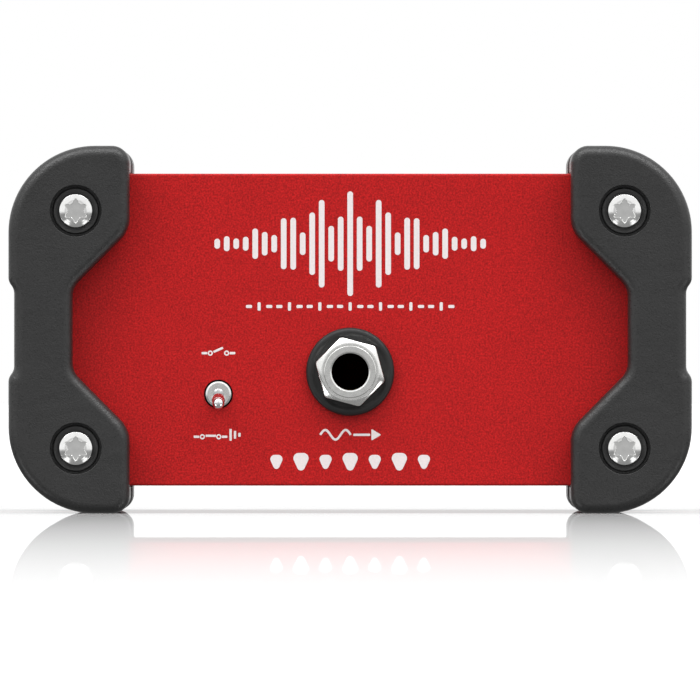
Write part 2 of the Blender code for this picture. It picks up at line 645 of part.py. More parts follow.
def make_board(green, steel, dark, sleeve_grey):
    """Circuit board with its transformer, capacitors and amplifier chips."""
    block("circuit_board", (-BOARD_HALF_WIDTH, BOARD_HALF_WIDTH), (-BOARD_HALF_DEPTH, BOARD_HALF_DEPTH),
          (BOARD_TOP - BOARD_THICK, BOARD_TOP), green)
    can = [(x + CAN_X, y) for x, y in rectangle(2 * CAN_HALF, 2 * CAN_HALF, CAN_CORNER)]
    rings = [[(x, y, z) for x, y in can] for z in (ON_BOARD, ON_BOARD + CAN_HEIGHT)]
    loft("line_transformer", rings, steel)
    for i, (x, y) in enumerate(CAPACITOR_PLACES):
        rings = [level_ring(x, y, ON_BOARD + height, radius, 20) for radius, height in CAPACITOR_OUTLINE]
        loft(f"filter_capacitor_{i + 1}", rings, sleeve_grey)
    for i, (x, y) in enumerate(CHIP_PLACES):
        make_chip(f"amplifier_chip_{i + 1}", x, y, dark)


def level_ring(x, y, z, radius, sides):
    """A level ring of points about an upright axis."""
    angles = [2 * pi * i / sides for i in range(sides)]
    return [(x + radius * cos(angle), y + radius * sin(angle), z) for angle in angles]


def make_chip(name, x, y, material):
    """Dual in-line chip body: a slab with sloping sides, resting just above the board."""
    levels = ((0.0, CHIP_DRAFT), (CHIP_HEIGHT / 2, 0.0), (CHIP_HEIGHT, CHIP_DRAFT))
    rings = []
    for height, shrink in levels:
        a, b, z = CHIP_HALF_LONG - shrink, CHIP_HALF_WIDE - shrink, ON_BOARD + height
        rings.append([(x - a, y - b, z), (x + a, y - b, z), (x + a, y + b, z), (x - a, y + b, z)])
    loft(name, rings, material)


def hole_cutter(name, centre, radius, end, sides, material):
    """A cutter through one panel; end is -1 for the front panel, 1 for the rear one."""
    return turned(name, centre, [(radius, end * (PANEL_FACE + 1)), (radius, end * (SLEEVE_END - 1))],
                  sides, material)


def build():
    for old in list(bpy.data.objects):
        bpy.data.objects.remove(old)
    red = make_material("red_powder_coat", (0.45, 0.02, 0.02), 0.5, 0.0)
    rubber = make_material("grey_rubber", (0.045, 0.045, 0.045), 0.7, 0.0)
    zinc = make_material("zinc_steel", (0.70, 0.69, 0.66), 0.3, 1.0)
    nickel = make_material("nickel", (0.72, 0.70, 0.66), 0.22, 1.0)
    bright = make_material("chrome", (0.80, 0.80, 0.80), 0.08, 1.0)
    grey = make_material("grey_bush", (0.10, 0.10, 0.10), 0.55, 0.0)
    black = make_material("black_plastic", (0.02, 0.02, 0.02), 0.45, 0.0)
    shell_metal = make_material("xlr_metal", (0.45, 0.44, 0.42), 0.35, 1.0)
    brass = make_material("brass", (0.75, 0.55, 0.25), 0.3, 1.0)
    green = make_material("green_board", (0.02, 0.16, 0.06), 0.5, 0.0)

    corners = [(side * SCREW_X, level * SCREW_Z) for side in (-1, 1) for level in (-1, 1)]
    screw_cutters = []
    bumper_cutters = []
    for i, centre in enumerate(corners):
        through = [(SCREW_HOLE / 2, -PANEL_FACE - 1), (SCREW_HOLE / 2, PANEL_FACE + 1)]
        screw_cutters.append(turned(f"screw_cutter_{i + 1}", centre, through, 16, black))
        stepped = [(COUNTERBORE_RADIUS, -DEPTH), (COUNTERBORE_RADIUS, -COUNTERBORE_FLOOR),
                   (BUSH_HOLE_RADIUS, -COUNTERBORE_FLOOR), (BUSH_HOLE_RADIUS, COUNTERBORE_FLOOR),
                   (COUNTERBORE_RADIUS, COUNTERBORE_FLOOR), (COUNTERBORE_RADIUS, DEPTH)]
        bumper_cutters.append(turned(f"bumper_hole_cutter_{i + 1}", centre, stepped, 24, black))
    pocket_outline = rectangle(BODY_WIDTH + 2 * GAP, BODY_HEIGHT + 2 * GAP, BODY_CORNER)
    pocket = prism("pocket_cutter", pocket_outline, -PANEL_FACE - GAP, PANEL_FACE + GAP, black)

    make_sleeve(red, screw_cutters)
    axis_z = make_power_socket(black, bright)
    front_holes = [hole_cutter("jack_hole_cutter", (JACK_X, JACK_Z), JACK_HOLE_RADIUS, -1, 28, black),
                   hole_cutter("switch_hole_cutter", (SWITCH_X, SWITCH_Z), SWITCH_HOLE_RADIUS, -1, 24, black)]
    rear_holes = [hole_cutter("xlr_hole_cutter", (XLR_X, 0.0), XLR_BARREL_RADIUS + GAP, 1, 40, black),
                  hole_cutter("power_hole_cutter", (POWER_X, axis_z), POWER_HOLE_RADIUS, 1, 20, black)]
    for sign in (1, -1):
        centre = (XLR_X - sign * XLR_SCREW_X, sign * XLR_SCREW_Z)
        name = f"xlr_screw_hole_cutter_{sign + 2}"
        rear_holes.append(hole_cutter(name, centre, XLR_SCREW_HOLE, 1, 12, black))
    make_panel("front_panel", -1, red, screw_cutters + front_holes)
    make_panel("rear_panel", 1, red, screw_cutters + rear_holes)

    for end, end_name in ((-1, "front"), (1, "rear")):
        for side, side_name, own in ((-1, "left", bumper_cutters[:2]), (1, "right", bumper_cutters[2:])):
            make_bumper(f"bumper_{end_name}_{side_name}", side, end, rubber, own + [pocket])
    make_corner_sets(star_screw_mesh(zinc))
    make_corner_sets(bush_mesh(grey))

    make_jack(nickel, black, black, brass)
    make_switch(nickel, black, bright, brass)
    make_xlr(shell_metal, black, brass, zinc)
    make_board(green, shell_metal, black, grey)


build()
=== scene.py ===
"""Looks of the guitar line box: fine meshes, materials, marks, floor, lights and camera.

Sizes are in millimetres in the row's frame (origin on the floor, front panel towards -Y, +Z up), and
they start from the boxes of the CAD nodes. Meshes are made in metres.
"""

import json
from math import ceil, cos, exp, pi, radians, sin, tan

import bmesh
import bpy
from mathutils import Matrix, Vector


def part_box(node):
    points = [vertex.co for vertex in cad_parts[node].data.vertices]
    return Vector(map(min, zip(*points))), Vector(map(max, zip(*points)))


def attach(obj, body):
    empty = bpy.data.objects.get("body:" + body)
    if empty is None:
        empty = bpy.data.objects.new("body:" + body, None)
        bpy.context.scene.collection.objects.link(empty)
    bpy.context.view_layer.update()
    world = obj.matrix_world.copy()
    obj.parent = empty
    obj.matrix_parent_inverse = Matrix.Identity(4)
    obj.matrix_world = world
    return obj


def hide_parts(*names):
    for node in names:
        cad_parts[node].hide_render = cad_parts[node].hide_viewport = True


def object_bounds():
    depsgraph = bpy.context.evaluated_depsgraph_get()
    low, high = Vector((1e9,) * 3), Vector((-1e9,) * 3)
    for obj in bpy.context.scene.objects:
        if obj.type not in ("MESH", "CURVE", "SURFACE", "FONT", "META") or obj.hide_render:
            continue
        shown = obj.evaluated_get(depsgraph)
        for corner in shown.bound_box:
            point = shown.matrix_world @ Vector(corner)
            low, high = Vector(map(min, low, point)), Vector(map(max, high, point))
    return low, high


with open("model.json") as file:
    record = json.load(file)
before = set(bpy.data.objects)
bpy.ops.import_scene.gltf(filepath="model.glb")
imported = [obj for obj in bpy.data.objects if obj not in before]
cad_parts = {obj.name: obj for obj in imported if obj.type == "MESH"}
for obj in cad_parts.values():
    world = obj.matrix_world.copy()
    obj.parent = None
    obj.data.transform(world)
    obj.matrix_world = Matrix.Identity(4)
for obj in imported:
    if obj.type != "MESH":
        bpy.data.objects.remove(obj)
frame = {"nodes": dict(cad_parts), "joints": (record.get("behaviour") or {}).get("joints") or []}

MM = 0.001
CAD_LOW, CAD_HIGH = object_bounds()

# Box and bumpers
BODY_CORNER = 2.5
WALL = 2.0
PANEL_EDGE = 0.4
POCKET_GAP = 0.3
WAIST_DEPTH = 1.0
WAIST_HALF = (7.2, 8.5)
WAIST_RADIUS = 2.3
SHOULDER_RADIUS = 15.3
INNER_RADIUS = 3.1
NOTCH_OUTER_HALF = 17.55
NOTCH_INNER_HALF = 7.40
NOTCH_DEPTH = 10.08
NOTCH_OUTER_RADIUS = 5.6
NOTCH_INNER_RADIUS = 3.9
BUMPER_FILLET = 1.8
BUMPER_BACK_FILLET = 0.8
COUNTERBORE_RADIUS = 4.575
COUNTERBORE_DEPTH = 4.7
COUNTERBORE_SHELF = (3.3, 4.12)    # how deep its ledge lies, and the radius inside the ledge
HOLE_RIM = 0.07
BUSH_HOLE_RADIUS = 3.55
BUSH_COLLAR = (3.98, 1.8)      # radius and depth
BUSH_BARREL_RADIUS = 3.25
BUSH_BORE_RADIUS = 1.8
BUSH_DISH = (3.0, 0.28)        # radius of its floor, and depth
BOSS_RADIUS = 3.7
RIB_DEPTH = 2.6
RIB_THICK = 1.4
SCREW_HOLE_RADIUS = 1.8

# Screws; the recess is drawn for a head of HEAD_RADIUS and scaled to the others
HEAD_RADIUS = 2.95
HEAD_DEPTH = 1.9
STAR_INNER = 1.40
STAR_REACH = 0.74
STAR_SHARPNESS = 1.7
RECESS_DEPTH = 0.8
RECESS_TAPER = 0.95
RECESS_LIP = 0.06
DOME_SAG = 0.34
HEAD_EDGE = 0.15
SHANK_RADIUS = 1.5
XLR_SHANK_RADIUS = 1.4
SHANK_POINT = 0.6

# Jack and switch
JACK_HOLE_RADIUS = 4.8
BEZEL_FLOOR = 0.35
BORE_RADIUS = 3.31
MOUTH_BEVEL = (0.25, 0.09)      # width and depth
THREAD_BEVEL = (0.12, 0.05)
THREAD_GAP = 0.015
THREAD_START = 0.55
THREAD_PITCH = 0.75
THREAD_DEPTH = 0.28
NUT_FACE_RADIUS = 5.15
NUT_CORNER_ANGLE = 45.0
NUT_FLATS = 11.0
NUT_CORNER_RADIUS = 6.24
NUT_CHAMFER_ANGLE = 30.0
NUT_BORE = 4.62
NUT_BORE_LIP = 0.03
NUT_SIDES = 144
SWITCH_HOLE_RADIUS = 2.55
SWITCH_BALL = 1.95
SWITCH_CLEARANCE = 0.05
SWITCH_MOUTH = 0.86
SWITCH_COLLAR_RADIUS = 2.25
SWITCH_FLANGE = (3.2, 0.8)     # radius and thickness
SWITCH_RIM = (0.30, 0.11)      # width and depth of the bevel round its face
LEVER_LENGTH = 6.4
LEVER_NOSE = 1.06
LEVER_BULB = (1.22, 4.2)       # its radius, and its distance from the pivot
LEVER_NECK = 0.36
LEVER_TAIL = [(0.2, 5.1), (0.55, 4.7), (0.55, 1.87)]
CAD_LEVER_TIP = 1.25           # radius of the CAD lever's round tip

# Rear sockets
XLR_HOLE_RADIUS = 11.9
XLR_BARREL_RADIUS = 11.6
XLR_BORE_RADIUS = 9.5
XLR_SCREW_HOLE = 1.7
XLR_CORNER = 3.0
INSERT_RADII = (9.2, 7.7)
INSERT_STEP = 42.0             # where it narrows, along the depth
CONTACT_HOLE = 1.5
LATCH_SLOT_FOOT = 8.0
LATCH_GAP = 0.3
LATCH_TAB = 2.0
LATCH_ARM = 1.2
POWER_HOLE_RADIUS = 4.0

# Camera
LENS = 1650.0
SENSOR = 36.0
VIEW_WIDTH = 123.68
VIEW_PLACE = (-0.03, 28.9)      # across and up

# Studio: radiances of its parts, and soft boxes as (azimuth, elevation, half angle, soft edge, radiance)
SURROUND_LEVEL = 0.30
DOME_LEVEL = 1.04
CAMERA_SIDE_LEVEL = 0.50
CAMERA_SIDE_SPREAD = (12, 8)
SOFT_BOXES = [
    (48, 52, 15, 5, 4.6),
    (60, -32, 9, 5, 3.0),
    (15, -18.5, 4.0, 1.0, 1.1),
]
OVERHEAD_ELEVATION = 70
OVERHEAD_ANGLE = 25
OVERHEAD_POWER = 0.7

# Floor: its white, and how much of it mirrors the box at a low angle, near and far
FLOOR_WHITE = 0.80
MIRROR_NEAR = 0.83
MIRROR_FAR = 0.31
MIRROR_END = 2.3
MIRROR_CURVE = 1.6


# ---- shapes

def box_of(node):
    """Lowest and highest corner of a CAD node, in millimetres."""
    low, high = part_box(node)
    return Vector(low) / MM, Vector(high) / MM


def middle_of(node):
    low, high = box_of(node)
    return (low + high) / 2


def ends_of(node):
    """A front or rear node's outer face and its back along the depth, and which way leads inwards."""
    low, high = box_of(node)
    return (low.y, high.y, 1) if low.y + high.y < 0 else (high.y, low.y, -1)


def arc_points(before, corner, after, radius, finest):
    """A corner rounded by an arc that touches both of its sides."""
    corner = Vector(corner)
    to_before = (Vector(before) - corner).normalized()
    to_after = (Vector(after) - corner).normalized()
    turn = pi - to_before.angle(to_after)
    if radius == 0 or turn < radians(1):
        return [tuple(corner)]
    start = corner + to_before * radius * tan(turn / 2)
    centre = corner + (to_before + to_after).normalized() * radius / cos(turn / 2)
    spin = 1 if to_before.x * to_after.y - to_before.y * to_after.x < 0 else -1
    steps = max(2, ceil(turn / radians(finest) - 0.01))
    arm = start - centre
    points = []
    for step in range(steps + 1):
        angle = spin * turn * step / steps
        points.append((centre.x + arm.x * cos(angle) - arm.y * sin(angle),
                       centre.y + arm.x * sin(angle) + arm.y * cos(angle)))
    return points


def rounded(corners, finest=7.5, closed=True):
    """An outline or a turned profile whose corners, (a, b, radius), are rounded by arcs."""
    outline = []
    last = len(corners) - 1
    for i, (a, b, radius) in enumerate(corners):
        if not closed and i in (0, last):
            outline.append((a, b))
            continue
        after = corners[(i + 1) % len(corners)]
        outline += arc_points(corners[i - 1][:2], (a, b), after[:2], radius, finest)
    return outline


def inset(outline, distance):
    """An anticlockwise outline moved inwards by a distance."""
    moved = []
    for i, here in enumerate(outline):
        here = Vector(here)
        before = (here - Vector(outline[i - 1])).normalized()
        after = (Vector(outline[(i + 1) % len(outline)]) - here).normalized()
        first, second = Vector((-before.y, before.x)), Vector((-after.y, after.x))
        moved.append(tuple(here + (first + second) / (1 + first.dot(second)) * distance))
    return moved


def rectangle(low_x, high_x, low_z, high_z, radius):
    return rounded([(high_x, low_z, radius), (high_x, high_z, radius),
                    (low_x, high_z, radius), (low_x, low_z, radius)])


def new_object(name, bm):
    bmesh.ops.recalc_face_normals(bm, faces=bm.faces)
    mesh = bpy.data.meshes.new(name)
    bm.to_mesh(mesh)
    bm.free()
    thing = bpy.data.objects.new(name, mesh)
    bpy.context.scene.collection.objects.link(thing)
    return thing


def add_rings(bm, rings, closed=False):
    """Skin a solid over rings of points; it is capped at both ends or closed into a loop."""
    loops = [[bm.verts.new(Vector(place) * MM) for place in ring] for ring in rings]
    pairs = list(zip(loops, loops[1:]))
    if closed:
        pairs.append((loops[-1], loops[0]))
    for near, far in pairs:
        for i in range(len(near)):
            j = (i + 1) % len(near)
            bm.faces.new((near[i], near[j], far[j], far[i]))
    if not closed:
        bm.faces.new(loops[0])
        bm.faces.new(list(reversed(loops[-1])))


def loft(name, rings, closed=False):
    bm = bmesh.new()
    add_rings(bm, rings, closed)
    return new_object(name, bm)


def ring_at(centre, radius, y, sides):
    """A circle of points about an axis along the depth through centre."""
    points = []
    for i in range(sides):
        angle = 2 * pi * i / sides
        points.append((centre.x + radius * cos(angle), y, centre.z + radius * sin(angle)))
    return points


def turned(name, centre, stations, sides=72, closed=False):
    """A piece turned about an axis along the depth, from (radius, y) stations."""
    return loft(name, [ring_at(centre, radius, y, sides) for radius, y in stations], closed)


def edge_rings(outline, end, inward, radius, steps):
    """Rings of an outline from a face at depth end, over a rounded edge, to the straight side."""
    rings = []
    for step in range(steps + 1):
        angle = pi / 2 * step / steps
        y = end + inward * radius * (1 - cos(angle))
        rings.append([(x, y, z) for x, z in inset(outline, radius * (1 - sin(angle)))])
    return rings


def rounded_prism(name, outline, ends, fillets, steps):
    """An outline extruded between two depths, with a rounded edge of its own radius at each end."""
    inward = 1 if ends[1] > ends[0] else -1
    rings = edge_rings(outline, ends[0], inward, fillets[0], steps)
    rings += edge_rings(outline, ends[1], -inward, fillets[1], steps)[::-1]
    return loft(name, rings)


def cut(thing, *cutters, operation="DIFFERENCE"):
    """Cut shapes out of an object, or join them on, and delete the cutters."""
    for cutter in cutters:
        modifier = thing.modifiers.new("cut", "BOOLEAN")
        modifier.operation = operation
        modifier.object = cutter
    bpy.context.view_layer.update()
    graph = bpy.context.evaluated_depsgraph_get()
    mesh = bpy.data.meshes.new_from_object(thing.evaluated_get(graph), depsgraph=graph)
    thing.modifiers.clear()
    thing.data = mesh
    for cutter in set(cutters):
        bpy.data.objects.remove(cutter)


def hole(centre, stations, sides=64):
    """A cutter turned about an axis along the depth."""
    return turned("hole", centre, stations, sides)


def flared(radius, face, inward, rim, steps=4):
    """Stations of a hole's mouth whose rim is rounded over; inward is the way into the material."""
    stations = [(radius + rim, face - inward)]
    for step in range(steps + 1):
        angle = pi / 2 * step / steps
        stations.append((radius + rim * (1 - sin(angle)), face + inward * rim * (1 - cos(angle))))
    return stations


def smooth(thing, angle):
    """Smooth shading with sharp creases, and flat faces kept flat."""
    thing.data.shade_smooth()
    thing.data.set_sharp_from_angle(angle=radians(angle))
    weighted = thing.modifiers.new("weighted_normals", "WEIGHTED_NORMAL")
    weighted.keep_sharp = True
    weighted.weight = 80


def store_place(thing, centre):
    """Keep each point's place about the piece's own middle, for the material's patterns."""
    centre = Vector(centre) * MM
    places = thing.data.attributes.new("place", "FLOAT_VECTOR", "POINT")
    for i, vertex in enumerate(thing.data.vertices):
        places.data[i].vector = vertex.co - centre


def off_axis(away):
    """How far a point lies from an axis along the depth."""
    return Vector((away.x, away.z)).length


def paint(thing, centre, materials, is_second):
    """Give some faces, chosen by how they lie from the centre, the second of two materials."""
    for material in materials:
        thing.data.materials.append(material)
    for face in thing.data.polygons:
        if is_second(face.center / MM - Vector(centre)):
            face.material_index = 1


def dress(thing, material, slot, body, *nodes, centre=None, crease=32):
    """Finish a piece: shading, pattern space, material, and its place in the frame."""
    smooth(thing, crease)
    if centre is None:
        centre = middle_of(nodes[0])
    store_place(thing, centre)
    if not thing.data.materials:
        thing.data.materials.append(material)
    if nodes:
        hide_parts(*nodes)
    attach(thing, body)
    return thing


# ---- materials

class Graph:
    """Short ways to add nodes to a node tree."""

    def __init__(self, tree):
        self.tree = tree

    def add(self, kind, settings=None, **inputs):
        node = self.tree.nodes.new(kind)
        for key, value in (settings or {}).items():
            setattr(node, key, value)
        for name, value in inputs.items():
            self.feed(value, node.inputs[name.replace("_", " ")])
        return node

    def feed(self, value, socket):
        if isinstance(value, bpy.types.NodeSocket):
            self.tree.links.new(value, socket)
        else:
            socket.default_value = value

    def math(self, operation, *values):
        node = self.add("ShaderNodeMath", {"operation": operation})
        for value, socket in zip(values, node.inputs):
            self.feed(value, socket)
        return node.outputs[0]

    def vector_math(self, operation, *values):
        node = self.add("ShaderNodeVectorMath", {"operation": operation})
        for value, socket in zip(values, node.inputs):
            self.feed(value, socket)
        return node.outputs["Value"]

    def map_range(self, value, start, end, low, high, smooth=False):
        node = self.add("ShaderNodeMapRange", {"interpolation_type": "SMOOTHSTEP" if smooth else "LINEAR"})
        for socket, number in zip(node.inputs, (value, start, end, low, high)):
            self.feed(number, socket)
        return node.outputs["Result"]

    def mix_shaders(self, share, first, second):
        node = self.add("ShaderNodeMixShader", Fac=share)
        self.feed(first.outputs[0], node.inputs[1])
        self.feed(second.outputs[0], node.inputs[2])
        return node

    def finish(self, kind, shader):
        self.feed(shader.outputs[0], self.tree.nodes.new(kind).inputs["Surface"])


class Finish(Graph):
    """A Principled material and the few node patterns that these finishes are made of.

    Patterns follow the places stored on a piece, or the node's own coordinates on a carried-over CAD node.
    """

    def __init__(self, name, colour, roughness, metallic=0.0, carried=False, **constants):
        self.material = bpy.data.materials.new(name)
        self.material.use_nodes = True
        super().__init__(self.material.node_tree)
        self.shader = self.tree.nodes["Principled BSDF"]
        self.colour = colour
        constants.update(Base_Color=(*colour, 1.0), Roughness=roughness, Metallic=metallic)
        for socket, value in constants.items():
            self.shader.inputs[socket.replace("_", " ")].default_value = value
        if carried:
            self.place = self.add("ShaderNodeTexCoord").outputs["Object"]
        else:
            self.place = self.add("ShaderNodeAttribute", {"attribute_name": "place"}).outputs["Vector"]
        self.height = None

    def noise(self, size_mm, detail=3.0, stretch=(1.0, 1.0, 1.0)):
        """Noise whose features are about size_mm across, scaled along each axis by stretch."""
        mapping = self.add("ShaderNodeMapping", Vector=self.place, Scale=stretch)
        made = self.add("ShaderNodeTexNoise", Vector=mapping.outputs["Vector"],
                        Scale=1.0 / (size_mm * MM), Detail=detail, Roughness=0.55)
        return made.outputs["Fac"]

    def cells(self, size_mm):
        """Rounded cells about size_mm across."""
        made = self.add("ShaderNodeTexVoronoi", {"feature": "SMOOTH_F1"}, Vector=self.place,
                        Scale=1.0 / (size_mm * MM), Smoothness=0.6)
        return made.outputs["Distance"]

    def rings(self, pitch_mm):
        """Fine circles about the depth axis, as a lathe leaves them."""
        made = self.add("ShaderNodeTexWave", {"wave_type": "RINGS", "rings_direction": "Y"},
                        Vector=self.place, Scale=1.0 / (pitch_mm * MM) / 20,
                        Distortion=1.5, Detail=2.0, Detail_Scale=1.5)
        return made.outputs["Fac"]

    def spread(self, pattern, low, high):
        """Map a pattern's middle part onto a range of numbers."""
        return self.map_range(pattern, 0.3, 0.7, low, high)

    def vary_colour(self, pattern, darker, lighter):
        """Vary the colour between a darker and a lighter multiple of itself, and keep earlier variation."""
        socket = self.shader.inputs["Base Color"]
        scale = self.spread(pattern, darker, lighter)
        made = self.add("ShaderNodeVectorMath", {"operation": "SCALE"}, Scale=scale)
        self.feed(socket.links[0].from_socket if socket.is_linked else self.colour, made.inputs[0])
        self.feed(made.outputs["Vector"], socket)

    def vary_roughness(self, pattern, low, high):
        self.feed(self.spread(pattern, low, high), self.shader.inputs["Roughness"])

    def add_bump(self, pattern, depth_mm, strength=1.0):
        """Raise the surface by a pattern, on top of any earlier bump."""
        made = self.add("ShaderNodeBump", Strength=strength, Distance=depth_mm * MM, Height=pattern)
        if self.height is not None:
            self.feed(self.height, made.inputs["Normal"])
        self.height = made.outputs["Normal"]
        self.feed(self.height, self.shader.inputs["Normal"])


def powder_coat():
    """Satin red powder coat: fine speckle, orange peel and faint cloudiness."""
    finish = Finish("red_powder_coat", (0.412, 0.0080, 0.0085), 0.48, Specular_IOR_Level=0.17)
    finish.vary_colour(finish.noise(0.32, 2.0), 0.60, 1.38)
    finish.vary_colour(finish.noise(14.0, 2.0), 0.97, 1.03)
    finish.vary_roughness(finish.noise(0.9, 3.0), 0.40, 0.56)
    finish.add_bump(finish.noise(0.34, 2.0), 0.030, 0.5)
    finish.add_bump(finish.noise(1.3, 1.0), 0.030, 0.4)
    return finish.material


def bumper_rubber():
    """Dark grey moulded rubber: fine spark-eroded grain, faint flow streaks and rubbed patches."""
    finish = Finish("bumper_rubber", (0.021, 0.021, 0.021), 0.32, Specular_IOR_Level=0.45)
    finish.vary_colour(finish.noise(0.9, 3.0, (0.25, 1.0, 1.0)), 0.90, 1.10)
    finish.vary_colour(finish.noise(0.30, 2.0), 0.84, 1.16)
    finish.vary_colour(finish.noise(9.0, 3.0), 0.94, 1.06)
    finish.vary_roughness(finish.noise(0.4, 3.0), 0.24, 0.42)
    finish.add_bump(finish.noise(0.26, 2.0), 0.080, 0.9)
    finish.add_bump(finish.cells(0.55), 0.040, 0.4)
    return finish.material


def moulded_plastic(name, colour, carried=False):
    """Injection moulded plastic: satin, with faint grain and handling marks."""
    finish = Finish(name, colour, 0.45, carried=carried, Specular_IOR_Level=0.3)
    finish.vary_colour(finish.noise(2.5, 3.0), 0.85, 1.15)
    finish.vary_roughness(finish.noise(0.7, 3.0), 0.38, 0.55)
    finish.add_bump(finish.noise(0.25, 2.0), 0.015, 0.35)
    return finish.material


def turned_metal(name, colour, roughness, pitch_mm=0.09, depth_mm=0.004):
    """Plated metal with lathe rings, stains too faint to name, and small knocks."""
    finish = Finish(name, colour, roughness, 1.0)
    finish.vary_colour(finish.noise(1.1, 3.0), 0.93, 1.04)
    finish.vary_roughness(finish.noise(0.6, 4.0), roughness * 0.8, roughness * 1.3)
    finish.add_bump(finish.rings(pitch_mm), depth_mm, 0.5)
    finish.add_bump(finish.noise(0.5, 3.0), 0.006, 0.3)
    return finish.material


def cast_metal(name, colour, roughness, carried=False):
    """Blasted and plated die casting."""
    finish = Finish(name, colour, roughness, 1.0, carried)
    finish.vary_colour(finish.noise(2.0, 3.0), 0.92, 1.05)
    finish.vary_roughness(finish.noise(0.8, 4.0), roughness * 0.8, roughness * 1.25)
    finish.add_bump(finish.noise(0.22, 2.0), 0.012, 0.5)
    return finish.material


def sheet_metal(name, colour, roughness):
    """Rolled strip or drawn sheet, with grain along its length, for carried-over CAD nodes."""
    finish = Finish(name, colour, roughness, 1.0, carried=True)
    finish.vary_colour(finish.noise(1.5, 3.0), 0.90, 1.06)
    finish.vary_roughness(finish.noise(0.4, 3.0, (1.0, 0.05, 1.0)), roughness * 0.75, roughness * 1.3)
    finish.add_bump(finish.noise(0.2, 2.0, (1.0, 0.04, 1.0)), 0.005, 0.4)
    return finish.material


def screen_print():
    """Off-white print: slightly uneven ink that follows the coat below."""
    finish = Finish("panel_print", (0.76, 0.69, 0.69), 0.55, Specular_IOR_Level=0.2)
    finish.vary_colour(finish.noise(0.35, 3.0), 0.94, 1.04)
    finish.vary_roughness(finish.noise(0.5, 3.0), 0.48, 0.62)
    finish.add_bump(finish.noise(0.34, 2.0), 0.020, 0.4)
    return finish.material


def solder_mask():
    """Green circuit board with the faint relief of its tracks."""
    finish = Finish("green_board", (0.02, 0.14, 0.055), 0.40, carried=True)
    tracks = finish.add("ShaderNodeTexBrick", Vector=finish.place, Scale=120.0)
    finish.vary_colour(tracks.outputs["Fac"], 0.85, 1.25)
    finish.vary_roughness(finish.noise(1.0, 3.0), 0.34, 0.48)
    finish.add_bump(tracks.outputs["Fac"], 0.03, 0.5)
    return finish.material


# ---- box

def make_sleeve(material):
    """The extruded sleeve between the panels, with a screw boss in each corner and a slot for the board."""
    low, high = box_of("body_sleeve")
    middle = middle_of("body_sleeve")
    outline = rectangle(low.x, high.x, low.z, high.z, BODY_CORNER)
    sleeve = rounded_prism("box_sleeve", outline, (low.y, high.y), (0.15, 0.15), 2)
    screw = middle_of("bumper_screw_front_upper_right") - middle
    side, top = high.x - WALL, high.z - middle.z - WALL
    slot = middle.z - box_of("circuit_board")[1].z - POCKET_GAP
    quarter = [
        (side, slot - RIB_THICK, 0),
        (side - RIB_DEPTH, slot - RIB_THICK, 0.2),
        (side - RIB_DEPTH, slot, 0.2),
        (side, slot, 0),
        (side, screw.z - BOSS_RADIUS, 0),
        (screw.x - BOSS_RADIUS, screw.z - BOSS_RADIUS, BOSS_RADIUS),
        (screw.x - BOSS_RADIUS, top, 0),
    ]
    half = quarter + [(-x, z, r) for x, z, r in reversed(quarter)]
    hollow = rounded(half + [(x, -z, r) for x, z, r in reversed(half)])
    rings = [[(x, y, z + middle.z) for x, z in hollow] for y in (low.y - 1, high.y + 1)]
    cutters = [loft("hollow", rings)]
    for x in (-screw.x, screw.x):
        for z in (-screw.z, screw.z):
            stations = [(SCREW_HOLE_RADIUS, low.y - 1), (SCREW_HOLE_RADIUS, high.y + 1)]
            cutters.append(hole(Vector((x, 0, middle.z + z)), stations, 32))
    cut(sleeve, *cutters)
    return dress(sleeve, material, "red_powder_coat", "box", "body_sleeve")


def make_panel(name, node, holes, material):
    """A flat panel with a softly rounded edge; its holes are (centre, radius) pairs."""
    low, high = box_of(node)
    outline = rectangle(low.x, high.x, low.z, high.z, BODY_CORNER)
    face, back, inward = ends_of(node)
    panel = rounded_prism(name, outline, (face, back), (PANEL_EDGE, 0.1), 4)
    cutters = []
    for centre, radius in holes:
        stations = flared(radius, face, inward, 0.12, 2) + [(radius, back + inward)]
        cutters.append(hole(centre, stations))
    cut(panel, *cutters)
    return dress(panel, material, "red_powder_coat", "box", node)


def bumper_outline(inner, outer, middle, top):
    """Anticlockwise outline of the bumper on the +X side, seen from the front."""
    half = top - middle
    upper = [
        (outer - WAIST_DEPTH, WAIST_HALF[0], WAIST_RADIUS),
        (outer, WAIST_HALF[1], WAIST_RADIUS),
        (outer, half, SHOULDER_RADIUS),
        (inner, half, INNER_RADIUS),
        (inner, NOTCH_OUTER_HALF, NOTCH_OUTER_RADIUS),
        (inner + NOTCH_DEPTH, NOTCH_INNER_HALF, NOTCH_INNER_RADIUS),
    ]
    lower = [(x, -z, radius) for x, z, radius in reversed(upper)]
    return [(x, z + middle) for x, z in rounded(upper + lower, 4.0)]


